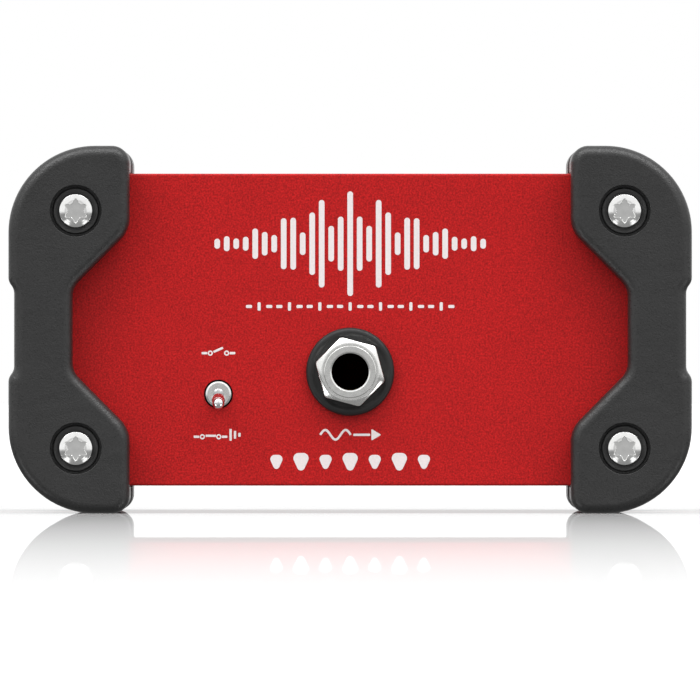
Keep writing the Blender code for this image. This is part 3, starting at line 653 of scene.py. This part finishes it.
def make_bumper(end_name, side_name, material):
    """A moulded corner bumper with two stepped screw holes, hollowed to fit over the box."""
    node = f"bumper_{end_name}_{side_name}"
    low, high = box_of(node)
    side = 1 if side_name == "right" else -1
    inner, outer = (low.x, high.x) if side > 0 else (-high.x, -low.x)
    outline = bumper_outline(inner, outer, (low.z + high.z) / 2, high.z)
    face, back, inward = ends_of(node)
    fillets = (BUMPER_FILLET, BUMPER_BACK_FILLET)
    bumper = rounded_prism(f"corner_{node}", outline, (face, back), fillets, 8)
    for vertex in bumper.data.vertices:
        vertex.co.x *= side
    if side < 0:
        bumper.data.flip_normals()
    body_low, body_high = box_of("body_sleeve")
    panel_face = ends_of(f"{end_name}_panel")[0]
    pocket = rectangle(body_low.x - POCKET_GAP, body_high.x + POCKET_GAP,
                       body_low.z - POCKET_GAP, body_high.z + POCKET_GAP, BODY_CORNER)
    rings = [[(x, y, z) for x, z in pocket] for y in (panel_face - inward * POCKET_GAP, back + inward)]
    cutters = [loft("pocket", rings)]
    step = face + inward * COUNTERBORE_DEPTH
    shelf, below_shelf = face + inward * COUNTERBORE_SHELF[0], COUNTERBORE_SHELF[1]
    stations = flared(COUNTERBORE_RADIUS, face, inward, HOLE_RIM)
    stations += [(COUNTERBORE_RADIUS, shelf), (below_shelf, shelf), (below_shelf, step),
                 (BUSH_HOLE_RADIUS, step), (BUSH_HOLE_RADIUS, panel_face + inward)]
    for level in ("upper", "lower"):
        place = middle_of(f"bumper_screw_{end_name}_{level}_{side_name}")
        cutters.append(hole(place, stations, 72))
    cut(bumper, *cutters)
    return dress(bumper, material, "bumper_rubber", "box", node)


# ---- screws and bushes

def star_radius(angle):
    """A six-lobed recess with narrow lobes, one of them straight up."""
    return STAR_INNER + STAR_REACH * (0.5 - 0.5 * cos(6 * angle)) ** STAR_SHARPNESS


def star_screw(name, node, material, shank_radius=SHANK_RADIUS):
    """A domed screw with a six-lobed recess; it lies along the depth, head outwards."""
    low, high = box_of(node)
    centre = middle_of(node)
    radius = (high.x - low.x) / 2
    top, tip, inward = ends_of(node)
    scale = radius / HEAD_RADIUS
    edge = radius - HEAD_EDGE
    sides = 144

    def dome(r):
        return top + inward * DOME_SAG * (r / radius) ** 2

    def lobes(share, depth, outward=0.0, blend=0.0):
        """A ring of the recess's outline, or of its blend into the head's round edge."""
        points = []
        for i in range(sides):
            angle = 2 * pi * i / sides
            r = (star_radius(angle) * scale * share + outward) * (1 - blend) + edge * blend
            points.append((centre.x + r * cos(angle), depth(r), centre.z + r * sin(angle)))
        return points

    floor = top + inward * RECESS_DEPTH * scale
    rings = [lobes(RECESS_TAPER * 0.5, lambda r: floor),
             lobes(RECESS_TAPER, lambda r: floor),
             lobes(1.0, lambda r: dome(r) + inward * RECESS_LIP)]
    rings += [lobes(1.0, dome, RECESS_LIP, blend) for blend in (0.0, 0.35, 0.7, 1.0)]
    for step in range(1, 6):
        angle = pi / 2 * step / 5
        y_edge = dome(edge) + inward * HEAD_EDGE * (1 - cos(angle))
        rings.append(ring_at(centre, edge + HEAD_EDGE * sin(angle), y_edge, sides))
    underside = top + inward * HEAD_DEPTH * scale
    for r, y in ((radius, underside), (shank_radius, underside),
                 (shank_radius, tip - inward * SHANK_POINT), (shank_radius * 0.6, tip)):
        rings.append(ring_at(centre, r, y, sides))
    screw = loft(name, rings)
    return dress(screw, material, "zinc_screws", "box", node, centre=(centre.x, top, centre.z))


def make_bush(name, node, material):
    """A stepped bush with a dished face and softened edges, round a screw."""
    centre = middle_of(node)
    face, foot, inward = ends_of(node)
    collar, collar_depth = BUSH_COLLAR
    floor_radius, dish = BUSH_DISH
    step = face + inward * collar_depth
    seat = face + inward * dish
    profile = rounded([
        (BUSH_BORE_RADIUS, seat, 0),
        (floor_radius, seat, 0.3),
        (collar - 0.15, face, 0.15),
        (collar, face + inward * 0.1, 0.1),
        (collar, step, 0.1),
        (BUSH_BARREL_RADIUS, step, 0),
        (BUSH_BARREL_RADIUS, foot, 0.1),
        (BUSH_BORE_RADIUS, foot, 0.1),
    ], 22.5)
    bush = turned(name, centre, profile, 72, closed=True)
    return dress(bush, material, "bush_plastic", "box", node)


# ---- output jack

def make_washer(material):
    """Black bezel with a raised round rim."""
    low, high = box_of("jack_washer")
    centre = middle_of("jack_washer")
    rim = (high.x - low.x) / 2
    floor = low.y + BEZEL_FLOOR
    profile = rounded([
        (JACK_HOLE_RADIUS, high.y, 0.0),
        (rim, high.y, 0.0),
        (rim, low.y, 0.75),
        (rim - 1.0, low.y, 0.5),
        (rim - 1.5, floor, 0.5),
        (JACK_HOLE_RADIUS, floor, 0.1),
    ], 11.0)
    washer = turned("jack_bezel", centre, profile, 120, closed=True)
    return dress(washer, material, "black_plastic", "box", "jack_washer")


def make_nut(material):
    """Hexagon nut: a conical chamfer runs out in a curve on every flat."""
    low, high = box_of("jack_nut")
    centre = middle_of("jack_washer")
    rows = [[] for _ in range(9)]
    for i in range(NUT_SIDES):
        angle = 360.0 * i / NUT_SIDES
        from_flat = radians(angle % 60 - 30)
        radius = min(NUT_FLATS / 2 / cos(from_flat), NUT_CORNER_RADIUS)
        edge = low.y + (radius - NUT_FACE_RADIUS) * tan(radians(NUT_CHAMFER_ANGLE))
        turn = radians(angle + NUT_CORNER_ANGLE)
        places = (
            (NUT_BORE + NUT_BORE_LIP, low.y),
            (NUT_FACE_RADIUS - 0.08, low.y),
            (NUT_FACE_RADIUS + 0.08, low.y + 0.05),
            (radius - 0.06, edge - 0.02),
            (radius, edge + 0.05),
            (radius, high.y - 0.1),
            (radius - 0.1, high.y),
            (NUT_BORE, high.y),
            (NUT_BORE, low.y + NUT_BORE_LIP),
        )
        for row, (r, y) in zip(rows, places):
            row.append((centre.x + r * cos(turn), y, centre.z + r * sin(turn)))
    nut = loft("jack_hex_nut", rows, closed=True)
    return dress(nut, material, "nickel_plate", "box", "jack_nut")


def make_jack_bushing(metal, shade_paint):
    """Threaded bushing: plated outside, with a bright bevelled mouth; its bore is painted near-black as
    painted shade.
    """
    low, high = box_of("jack_bushing")
    centre = middle_of("jack_washer")
    outer = NUT_BORE - THREAD_GAP
    root = outer - THREAD_DEPTH
    mouth_width, mouth_depth = MOUTH_BEVEL
    thread_width, thread_depth = THREAD_BEVEL
    stations = [(BORE_RADIUS, high.y), (BORE_RADIUS, low.y + mouth_depth), (BORE_RADIUS + mouth_width, low.y),
                (outer - thread_width, low.y), (outer, low.y + thread_depth)]
    crest = low.y + THREAD_START
    while crest + THREAD_PITCH < high.y:
        for radius, share in ((outer, 0.0), (root, 0.4), (root, 0.5), (outer, 0.9)):
            stations.append((radius, crest + THREAD_PITCH * share))
        crest += THREAD_PITCH
    stations.append((outer, high.y))
    bushing = turned("jack_threaded_bushing", centre, stations, 120, closed=True)
    # The bore's faces take the near-black material: painted shade for the deep bore.
    paint(bushing, centre, (metal, shade_paint), lambda away: off_axis(away) < BORE_RADIUS + 0.01)
    return dress(bushing, metal, "nickel_plate", "box", "jack_bushing", crease=12)


# ---- toggle switch

def pivot_of(name):
    """Where a hinge sits, in millimetres."""
    joint = next(joint for joint in frame["joints"] if joint["name"] == name)
    return Vector(joint["pos_m"]) / MM


def make_switch_bushing(metal, shade_paint):
    """Smooth collar whose inside follows the lever's ball, and a flange behind the panel painted near-black
    as painted shade, seen through the gap round the collar.
    """
    low, high = box_of("switch_bushing")
    centre = middle_of("switch_bushing")
    pivot_y = pivot_of("lever_tilt").y
    clear = SWITCH_BALL + SWITCH_CLEARANCE
    seat = []
    for angle in (54, 42, 30, 15, 0):
        seat.append((clear * cos(radians(angle)), pivot_y - clear * sin(radians(angle))))
    rim_width, rim_depth = SWITCH_RIM
    flange, flange_thick = SWITCH_FLANGE
    collar = SWITCH_COLLAR_RADIUS
    profile = [(SWITCH_MOUTH, low.y), (collar - rim_width, low.y), (collar, low.y + rim_depth),
               (collar, high.y - flange_thick), (flange, high.y - flange_thick), (flange, high.y),
               (clear, high.y)] + seat[::-1]
    bushing = turned("switch_collar", centre, profile, 96, closed=True)
    # The flange takes the near-black material: painted shade behind the panel.
    paint(bushing, centre, (metal, shade_paint), lambda away: off_axis(away) > collar + 0.05)
    return dress(bushing, metal, "nickel_plate", "box", "switch_bushing", crease=12)


def make_lever(material, ball_material):
    """Bat lever, turned about its own axis and then tilted to its rest angle on its pivot."""
    pivot = pivot_of("lever_tilt")
    stations = list(LEVER_TAIL)
    for angle in range(72, -73, -8):
        stations.append((SWITCH_BALL * cos(radians(angle)), SWITCH_BALL * sin(radians(angle))))
    bulb, bulb_place = LEVER_BULB
    stations += [(LEVER_NECK, -SWITCH_BALL), (bulb - 0.10, 0.25 - bulb_place), (bulb, -bulb_place)]
    for angle in range(12, -88, -9):
        turn = radians(angle)
        stations.append((LEVER_NOSE * cos(turn), -LEVER_LENGTH + LEVER_NOSE * sin(turn)))
    lever = turned("toggle_lever", Vector(), stations, 48)
    paint(lever, (0, 0, 0), (material, ball_material), lambda away: away.length < SWITCH_BALL + 0.01)
    tilt = lever_tilt(pivot.z - box_of("switch_lever")[0].z)
    for vertex in lever.data.vertices:
        y, z = vertex.co.y, vertex.co.z
        vertex.co.y = y * cos(tilt) - z * sin(tilt) + pivot.y * MM
        vertex.co.z = y * sin(tilt) + z * cos(tilt) + pivot.z * MM
        vertex.co.x += pivot.x * MM
    return dress(lever, material, "chrome_lever", "lever", "switch_lever", centre=pivot, crease=12)


def lever_tilt(drop):
    """The rest angle at which the CAD lever's round tip reaches drop below the pivot."""
    low, high = 0.0, radians(40)
    for _ in range(30):
        middle = (low + high) / 2
        if LEVER_LENGTH * sin(middle) + CAD_LEVER_TIP < drop:
            low = middle
        else:
            high = middle
    return (low + high) / 2


# ---- rear sockets

def make_xlr_shell(material):
    """Flange and barrel in one casting, with a stepped mouth, a latch slot and two screw holes."""
    low, high = box_of("xlr_shell")
    centre = middle_of("xlr_shell")
    flange_back = box_of("rear_panel")[1].y + 0.3
    outline = rectangle(low.x, high.x, low.z, high.z, XLR_CORNER)
    shell = rounded_prism("input_shell", outline, (high.y, flange_back), (0.6, 0.1), 5)
    barrel = [(XLR_BARREL_RADIUS, low.y), (XLR_BARREL_RADIUS, flange_back + 0.7)]
    cut(shell, turned("barrel", centre, barrel, 96), operation="UNION")
    bore = flared(XLR_BORE_RADIUS, high.y, -1, 0.5) + [(XLR_BORE_RADIUS, low.y - 1)]
    latch_low, latch_high = box_of("xlr_latch")
    left, right = latch_low.x - LATCH_GAP, latch_high.x + LATCH_GAP
    foot, head = centre.z + LATCH_SLOT_FOOT, latch_high.z + LATCH_GAP
    slot = [(left, foot), (right, foot), (right, head), (left, head)]
    rings = [[(x, y, z) for x, z in slot] for y in (latch_low.y - 2, high.y + 1)]
    cutters = [hole(centre, bore, 96), loft("latch_slot", rings)]
    for name in ("xlr_screw_upper", "xlr_screw_lower"):
        place = middle_of(name)
        stations = flared(XLR_SCREW_HOLE, high.y, -1, 0.2, 2) + [(XLR_SCREW_HOLE, low.y)]
        cutters.append(hole(place, stations, 32))
    cut(shell, *cutters)
    return dress(shell, material, "satin_nickel", "box", "xlr_shell")


def make_xlr_insert(material):
    """Insert with three flared contact holes."""
    low, high = box_of("xlr_insert")
    centre = middle_of("xlr_insert")
    wide, narrow = INSERT_RADII
    profile = rounded([
        (0.0, low.y, 0),
        (wide, low.y, 0.2),
        (wide, INSERT_STEP, 0.2),
        (narrow, INSERT_STEP, 0.0),
        (narrow, high.y, 0.5),
        (0.0, high.y, 0),
    ], 15.0, closed=False)[1:-1]
    insert = turned("input_insert", centre, profile, 96)
    stations = flared(CONTACT_HOLE, high.y, -1, 0.35) + [(CONTACT_HOLE, low.y - 1)]
    cutters = []
    for number in (1, 2, 3):
        place = middle_of(f"xlr_contact_{number}")
        cutters.append(hole(place, stations, 40))
    cut(insert, *cutters)
    return dress(insert, material, "black_plastic", "box", "xlr_insert")


def make_latch(material):
    """Push tab with a ribbed face, on an arm that runs back through the shell."""
    low, high = box_of("xlr_latch")
    tab_back = high.y - LATCH_TAB
    arm_top = low.z + LATCH_ARM
    profile = rounded([
        (low.y, low.z, 0.2),
        (high.y, low.z, 0.3),
        (high.y, high.z, 0.8),
        (tab_back, high.z, 0.2),
        (tab_back, arm_top, 0.1),
        (low.y, arm_top, 0.2),
    ], 15.0)
    latch = loft("input_latch", [[(x, y, z) for y, z in profile] for x in (low.x, high.x)])
    grooves = []
    floor, clear = high.y - 0.22, high.y + 0.5
    for i in range(3):
        z = high.z - 0.9 - i * 0.75
        edge = [(floor, z - 0.18), (clear, z - 0.18), (clear, z + 0.18), (floor, z + 0.18)]
        ends = (low.x + 0.8, high.x - 0.8)
        grooves.append(loft("groove", [[(x, *point) for point in edge] for x in ends]))
    cut(latch, *grooves)
    return dress(latch, material, "black_plastic", "latch", "xlr_latch")


# ---- printed marks

class Print:
    """A flat mark on a panel, made of separate thin solids that stand a hair proud."""

    def __init__(self, panel, x, z):
        face, _, inward = ends_of(panel)
        self.bm = bmesh.new()
        self.panel = panel
        self.near = face - inward * 0.01
        self.far = face - inward * 0.035
        self.flip = inward
        self.x, self.z = x, z

    def at(self, x, z, y):
        return (self.x + self.flip * x, y, self.z + z)

    def shape(self, outline):
        """A filled outline."""
        add_rings(self.bm, [[self.at(x, z, y) for x, z in outline] for y in (self.near, self.far)])

    def bar(self, x, z, width, height, radius=None, angle=0.0):
        """A rounded bar about (x, z), turned by an angle in degrees; with no radius its ends are round."""
        radius = min(width, height) / 2 * 0.98 if radius is None else radius
        flat = rectangle(-width / 2, width / 2, -height / 2, height / 2, radius)
        c, s = cos(radians(angle)), sin(radians(angle))
        self.shape([(x + a * c - b * s, z + a * s + b * c) for a, b in flat])

    def ring(self, x, z, radius, thickness, sides=40):
        inner = radius - thickness
        rings = []
        for r, y in ((radius, self.near), (radius, self.far), (inner, self.far), (inner, self.near)):
            angles = [2 * pi * i / sides for i in range(sides)]
            rings.append([self.at(x + r * cos(angle), z + r * sin(angle), y) for angle in angles])
        add_rings(self.bm, rings, closed=True)

    def wave(self, x, width, height, thickness, cycles, steps=48):
        """A sine curve drawn with an even stroke."""
        upper, lower = [], []
        for i in range(steps + 1):
            t = i / steps
            slope = height / 2 * cos(2 * pi * cycles * t) * 2 * pi * cycles / width
            normal = Vector((-slope, 1)).normalized() * thickness / 2
            here = Vector((x - width / 2 + width * t, height / 2 * sin(2 * pi * cycles * t)))
            upper.append(tuple(here + normal))
            lower.append(tuple(here - normal))
        self.shape(lower + upper[::-1])

    def done(self, name, material):
        thing = new_object(name, self.bm)
        thing.data.materials.append(material)
        store_place(thing, middle_of(self.panel))
        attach(thing, "box")
        return thing


def print_front(material):
    """Generic symbols: a burst, dashes, an open and a closed contact, an output sign and plectrums."""
    panel = "front_panel"
    middle = middle_of(panel).z
    switch = middle_of("switch_bushing")
    jack = middle_of("jack_washer")

    burst = Print(panel, 0.0, middle + 15.2)
    for i in range(-14, 15):
        envelope = exp(-(abs(i) / 8.5) ** 2) * (0.62 + 0.38 * cos(i * 1.9))
        burst.bar(i * 1.68, 0.0, 1.0, 1.0 + 17.5 * envelope)
    burst.done("print_burst", material)

    dashes = Print(panel, 0.0, middle + 4.1)
    for i in range(-10, 11):
        width, height = (1.1, 0.55) if i % 3 else (0.55, 1.5)
        dashes.bar(i * 1.79, 0.0, width, height, 0.2)
    dashes.done("print_dashes", material)

    lift = Print(panel, switch.x, middle - 3.8)
    draw_contact(lift, 0.0, 24.0)
    lift.done("print_earth_open", material)

    earth = Print(panel, switch.x, middle - 18.6)
    draw_contact(earth, -1.4, 0.0)
    for i, height in enumerate((2.1, 1.4, 0.7)):
        earth.bar(2.15 + i * 0.78, 0.0, 0.42, height, 0.1)
    earth.done("print_earth_closed", material)

    output = Print(panel, jack.x, middle - 18.6)
    output.wave(-2.6, 5.4, 1.7, 0.4, 1.5)
    output.bar(2.05, 0.0, 3.0, 0.42, 0.15)
    output.shape(rounded([(3.75, -1.05, 0.12), (5.5, 0.0, 0.12), (3.75, 1.05, 0.12)], 20))
    output.done("print_output", material)

    plectrums = Print(panel, 0.0, middle - 23.5)
    for i in range(-3, 4):
        size = 1.0 if i % 2 else 1.25
        draw_plectrum(plectrums, i * 4.35, size)
    plectrums.done("print_plectrums", material)


def draw_contact(mark, x, angle):
    """A switch contact: two rings with leads, and a blade between them, closed or raised."""
    for side in (-1, 1):
        mark.ring(x + side * 1.45, -0.35, 0.46, 0.24)
        mark.bar(x + side * 2.48, -0.35, 1.0, 0.42, 0.1)
    reach, rise = cos(radians(angle)), sin(radians(angle))
    mark.bar(x - 0.95 + reach, rise - 0.18, 1.85, 0.40, 0.1, angle)


def draw_plectrum(mark, x, size):
    """A solid plectrum, point down."""
    corners = [(-1.5, 1.35, 0.75), (0.0, -1.9, 0.55), (1.5, 1.35, 0.75)]
    mark.shape([(x + a * size, b * size) for a, b in rounded(corners, 12)])


def print_rear(material):
    """An input arrow and the usual centre-pin polarity sign."""
    shell = middle_of("xlr_shell")
    shell_foot = box_of("xlr_shell")[0].z
    power = middle_of("power_jack_pin")
    arrow = Print("rear_panel", shell.x, shell_foot - 4.0)
    arrow.bar(-1.6, 0.0, 3.2, 0.42, 0.15)
    arrow.shape(rounded([(0.2, -1.05, 0.12), (2.0, 0.0, 0.12), (0.2, 1.05, 0.12)], 20))
    arrow.bar(2.9, 0.0, 0.42, 2.3, 0.15)
    arrow.done("print_input", material)
    polarity = Print("rear_panel", power.x, power.z + 8.0)
    polarity.ring(0.0, 0.0, 1.3, 0.32)
    polarity.ring(0.0, 0.0, 0.55, 0.35)
    for side in (-1, 1):
        polarity.bar(side * 2.2, 0.0, 1.6, 0.34, 0.1)
        polarity.ring(side * 4.2, 0.0, 1.1, 0.3)
        polarity.bar(side * 4.2, 0.0, 1.1, 0.32, 0.1)
    for side in (1, -1):
        polarity.bar(4.2, side * 0.36, 0.32, 0.38, 0.05)
    polarity.done("print_polarity", material)


# ---- inside

def dress_cad(material, *nodes):
    """Give carried-over CAD nodes a material of this scene's."""
    for name in nodes:
        thing = frame["nodes"][name]
        thing.data.materials.clear()
        thing.data.materials.append(material)


# ---- stage

def empty_graph(tree):
    """Node helpers for a tree that is cleared of its default nodes."""
    tree.nodes.clear()
    return Graph(tree)


def make_floor():
    """Glossy white floor: at a low angle it mirrors the box, less and less with distance from it."""
    bm = bmesh.new()
    corners = [(-12, -12), (12, -12), (12, 12), (-12, 12)]
    bm.faces.new([bm.verts.new((x, y, 0.0)) for x, y in corners])
    floor = new_object("floor", bm)
    material = bpy.data.materials.new("floor_white")
    material.use_nodes = True
    graph = empty_graph(material.node_tree)
    diffuse = graph.add("ShaderNodeBsdfDiffuse", Color=(FLOOR_WHITE, FLOOR_WHITE, FLOOR_WHITE, 1.0))
    gloss = graph.add("ShaderNodeBsdfGlossy", Roughness=0.0)
    away = graph.vector_math("LENGTH", graph.add("ShaderNodeTexCoord").outputs["Object"])
    near = graph.math("POWER", graph.map_range(away, 0.0, MIRROR_END, 1.0, 0.0), MIRROR_CURVE)
    fade = graph.math("MULTIPLY_ADD", near, MIRROR_NEAR - MIRROR_FAR, MIRROR_FAR)
    facing = graph.add("ShaderNodeLayerWeight", Blend=0.5).outputs["Facing"]
    grazing = graph.math("POWER", facing, 5.0)
    mirrored = graph.mix_shaders(graph.math("MULTIPLY", fade, grazing), diffuse, gloss)
    graph.finish("ShaderNodeOutputMaterial", mirrored)
    floor.data.materials.append(material)
    floor.visible_diffuse = False
    floor.visible_glossy = False


def towards(azimuth, elevation):
    """A direction seen from the box: azimuth from the front (-Y) towards +X, in degrees."""
    a, e = radians(azimuth), radians(elevation)
    return (sin(a) * cos(e), -cos(a) * cos(e), sin(e))


def make_world():
    """A white studio: a bright dome over a grey surround, with soft boxes; the camera sees plain white."""
    world = bpy.data.worlds.new("studio")
    bpy.context.scene.world = world
    world.use_nodes = True
    graph = empty_graph(world.node_tree)
    direction = graph.add("ShaderNodeTexCoord").outputs["Generated"]
    height = graph.add("ShaderNodeSeparateXYZ", Vector=direction).outputs["Z"]

    def spot(azimuth, elevation, half, soft):
        """One inside a round patch of the surround, falling to nothing over its soft edge."""
        along = graph.vector_math("DOT_PRODUCT", direction, towards(azimuth, elevation))
        return graph.map_range(along, cos(radians(half + soft)), cos(radians(half)), 0.0, 1.0, True)

    dome = graph.map_range(height, -0.08, -0.01, 0.0, 1.0, True)
    behind_camera = spot(0, 0, *CAMERA_SIDE_SPREAD)
    dome = graph.math("MULTIPLY", dome, graph.math("SUBTRACT", 1.0, behind_camera))
    level = graph.math("MULTIPLY_ADD", dome, DOME_LEVEL - SURROUND_LEVEL, SURROUND_LEVEL)
    level = graph.math("MULTIPLY_ADD", behind_camera, CAMERA_SIDE_LEVEL - SURROUND_LEVEL, level)
    for azimuth, elevation, half, soft, radiance in SOFT_BOXES:
        for side in (-1, 1):
            patch = spot(side * azimuth, elevation, half, soft)
            level = graph.math("MULTIPLY_ADD", patch, radiance, level)
    light = graph.add("ShaderNodeBackground", Color=(1.0, 1.0, 1.0, 1.0), Strength=level)
    seen = graph.add("ShaderNodeBackground", Color=(1.0, 1.0, 1.0, 1.0), Strength=1.0)
    is_camera = graph.add("ShaderNodeLightPath").outputs["Is Camera Ray"]
    graph.finish("ShaderNodeOutputWorld", graph.mix_shaders(is_camera, light, seen))


def make_lights():
    """One soft overhead light, slightly in front of the box."""
    data = bpy.data.lights.new("overhead", "SUN")
    data.angle = radians(OVERHEAD_ANGLE)
    data.energy = OVERHEAD_POWER
    lamp = bpy.data.objects.new("overhead", data)
    bpy.context.scene.collection.objects.link(lamp)
    lamp.rotation_euler = Vector(towards(0, OVERHEAD_ELEVATION)).to_track_quat("Z", "Y").to_euler()


def make_camera():
    data = bpy.data.cameras.new("camera")
    data.lens = LENS
    data.sensor_width = SENSOR
    distance = LENS / SENSOR * VIEW_WIDTH * MM
    data.clip_end = distance * 3
    camera = bpy.data.objects.new("camera", data)
    bpy.context.scene.collection.objects.link(camera)
    camera.location = (VIEW_PLACE[0] * MM, CAD_LOW.y - distance, VIEW_PLACE[1] * MM)
    camera.rotation_euler = (pi / 2, 0.0, 0.0)
    bpy.context.scene.camera = camera


# ---- everything

PANEL_HOLES = {
    "front": [("jack_washer", JACK_HOLE_RADIUS), ("switch_bushing", SWITCH_HOLE_RADIUS)],
    "rear": [("xlr_shell", XLR_HOLE_RADIUS), ("power_jack_pin", POWER_HOLE_RADIUS),
             ("xlr_screw_upper", XLR_SCREW_HOLE), ("xlr_screw_lower", XLR_SCREW_HOLE)],
}


def hole_round(node, radius):
    """The centre and radius of a panel's hole for a node."""
    return middle_of(node), radius


def corner_holes(end):
    """The holes for the four bumper screws of one end."""
    return [hole_round(f"bumper_screw_{end}_{level}_{side}", SCREW_HOLE_RADIUS)
            for level in ("upper", "lower") for side in ("left", "right")]


def build():
    red = powder_coat()
    rubber = bumper_rubber()
    black = moulded_plastic("black_plastic", (0.018, 0.018, 0.018))
    # Near-black painted shade for the jack's bore and the switch's flange, standing in for the shade in them
    # rather than a colour of the parts.
    painted_shade_black = moulded_plastic("painted_shade_black", (0.004, 0.004, 0.004))
    housing_black = moulded_plastic("housing_black", (0.010, 0.010, 0.010), carried=True)
    bush_grey = moulded_plastic("bush_plastic", (0.110, 0.110, 0.110))
    zinc = turned_metal("zinc_screws", (0.86, 0.86, 0.85), 0.09)
    nickel = turned_metal("nickel_plate", (0.84, 0.84, 0.82), 0.20)
    chrome = turned_metal("chrome_lever", (0.86, 0.86, 0.87), 0.08, 0.2, 0.002)
    ball_steel = turned_metal("ball_steel", (0.45, 0.45, 0.45), 0.30, 0.2, 0.002)
    satin = cast_metal("satin_nickel", (0.50, 0.49, 0.47), 0.34)
    steel = sheet_metal("steel_can", (0.55, 0.55, 0.54), 0.36)
    brass = sheet_metal("brass_contact", (0.72, 0.52, 0.24), 0.3)
    ink = screen_print()
    board = solder_mask()
    capacitor_blue = moulded_plastic("capacitor_sleeve", (0.03, 0.035, 0.06), carried=True)
    pin_nickel = cast_metal("pin_nickel", (0.72, 0.71, 0.69), 0.22, carried=True)

    make_sleeve(red)
    for end, others in PANEL_HOLES.items():
        holes = corner_holes(end) + [hole_round(node, radius) for node, radius in others]
        make_panel(f"panel_{end}", f"{end}_panel", holes, red)

    for end in ("front", "rear"):
        for side in ("left", "right"):
            make_bumper(end, side, rubber)
            for level in ("upper", "lower"):
                tail = f"{end}_{level}_{side}"
                star_screw(f"screw_{tail}", f"bumper_screw_{tail}", zinc)
                make_bush(f"bush_{tail}", f"bumper_bush_{tail}", bush_grey)

    make_washer(black)
    make_nut(nickel)
    make_jack_bushing(nickel, painted_shade_black)
    make_switch_bushing(nickel, painted_shade_black)
    make_lever(chrome, ball_steel)
    make_xlr_shell(satin)
    make_xlr_insert(black)
    make_latch(black)
    for level in ("upper", "lower"):
        star_screw(f"input_screw_{level}", f"xlr_screw_{level}", zinc, XLR_SHANK_RADIUS)
    print_front(ink)
    print_rear(ink)

    dress_cad(housing_black, "jack_housing", "switch_housing", "power_jack_housing",
              "amplifier_chip_1", "amplifier_chip_2")
    dress_cad(brass, "jack_tip_spring", "jack_sleeve_spring", "switch_rocker", "switch_terminal_1",
              "switch_terminal_2", "switch_terminal_3", "xlr_contact_1", "xlr_contact_2", "xlr_contact_3")
    dress_cad(pin_nickel, "power_jack_pin")
    dress_cad(board, "circuit_board")
    dress_cad(steel, "line_transformer")
    dress_cad(capacitor_blue, "filter_capacitor_1", "filter_capacitor_2")


build()
make_floor()
make_world()
make_lights()
make_camera()
bpy.context.scene.view_settings.view_transform = "Standard"
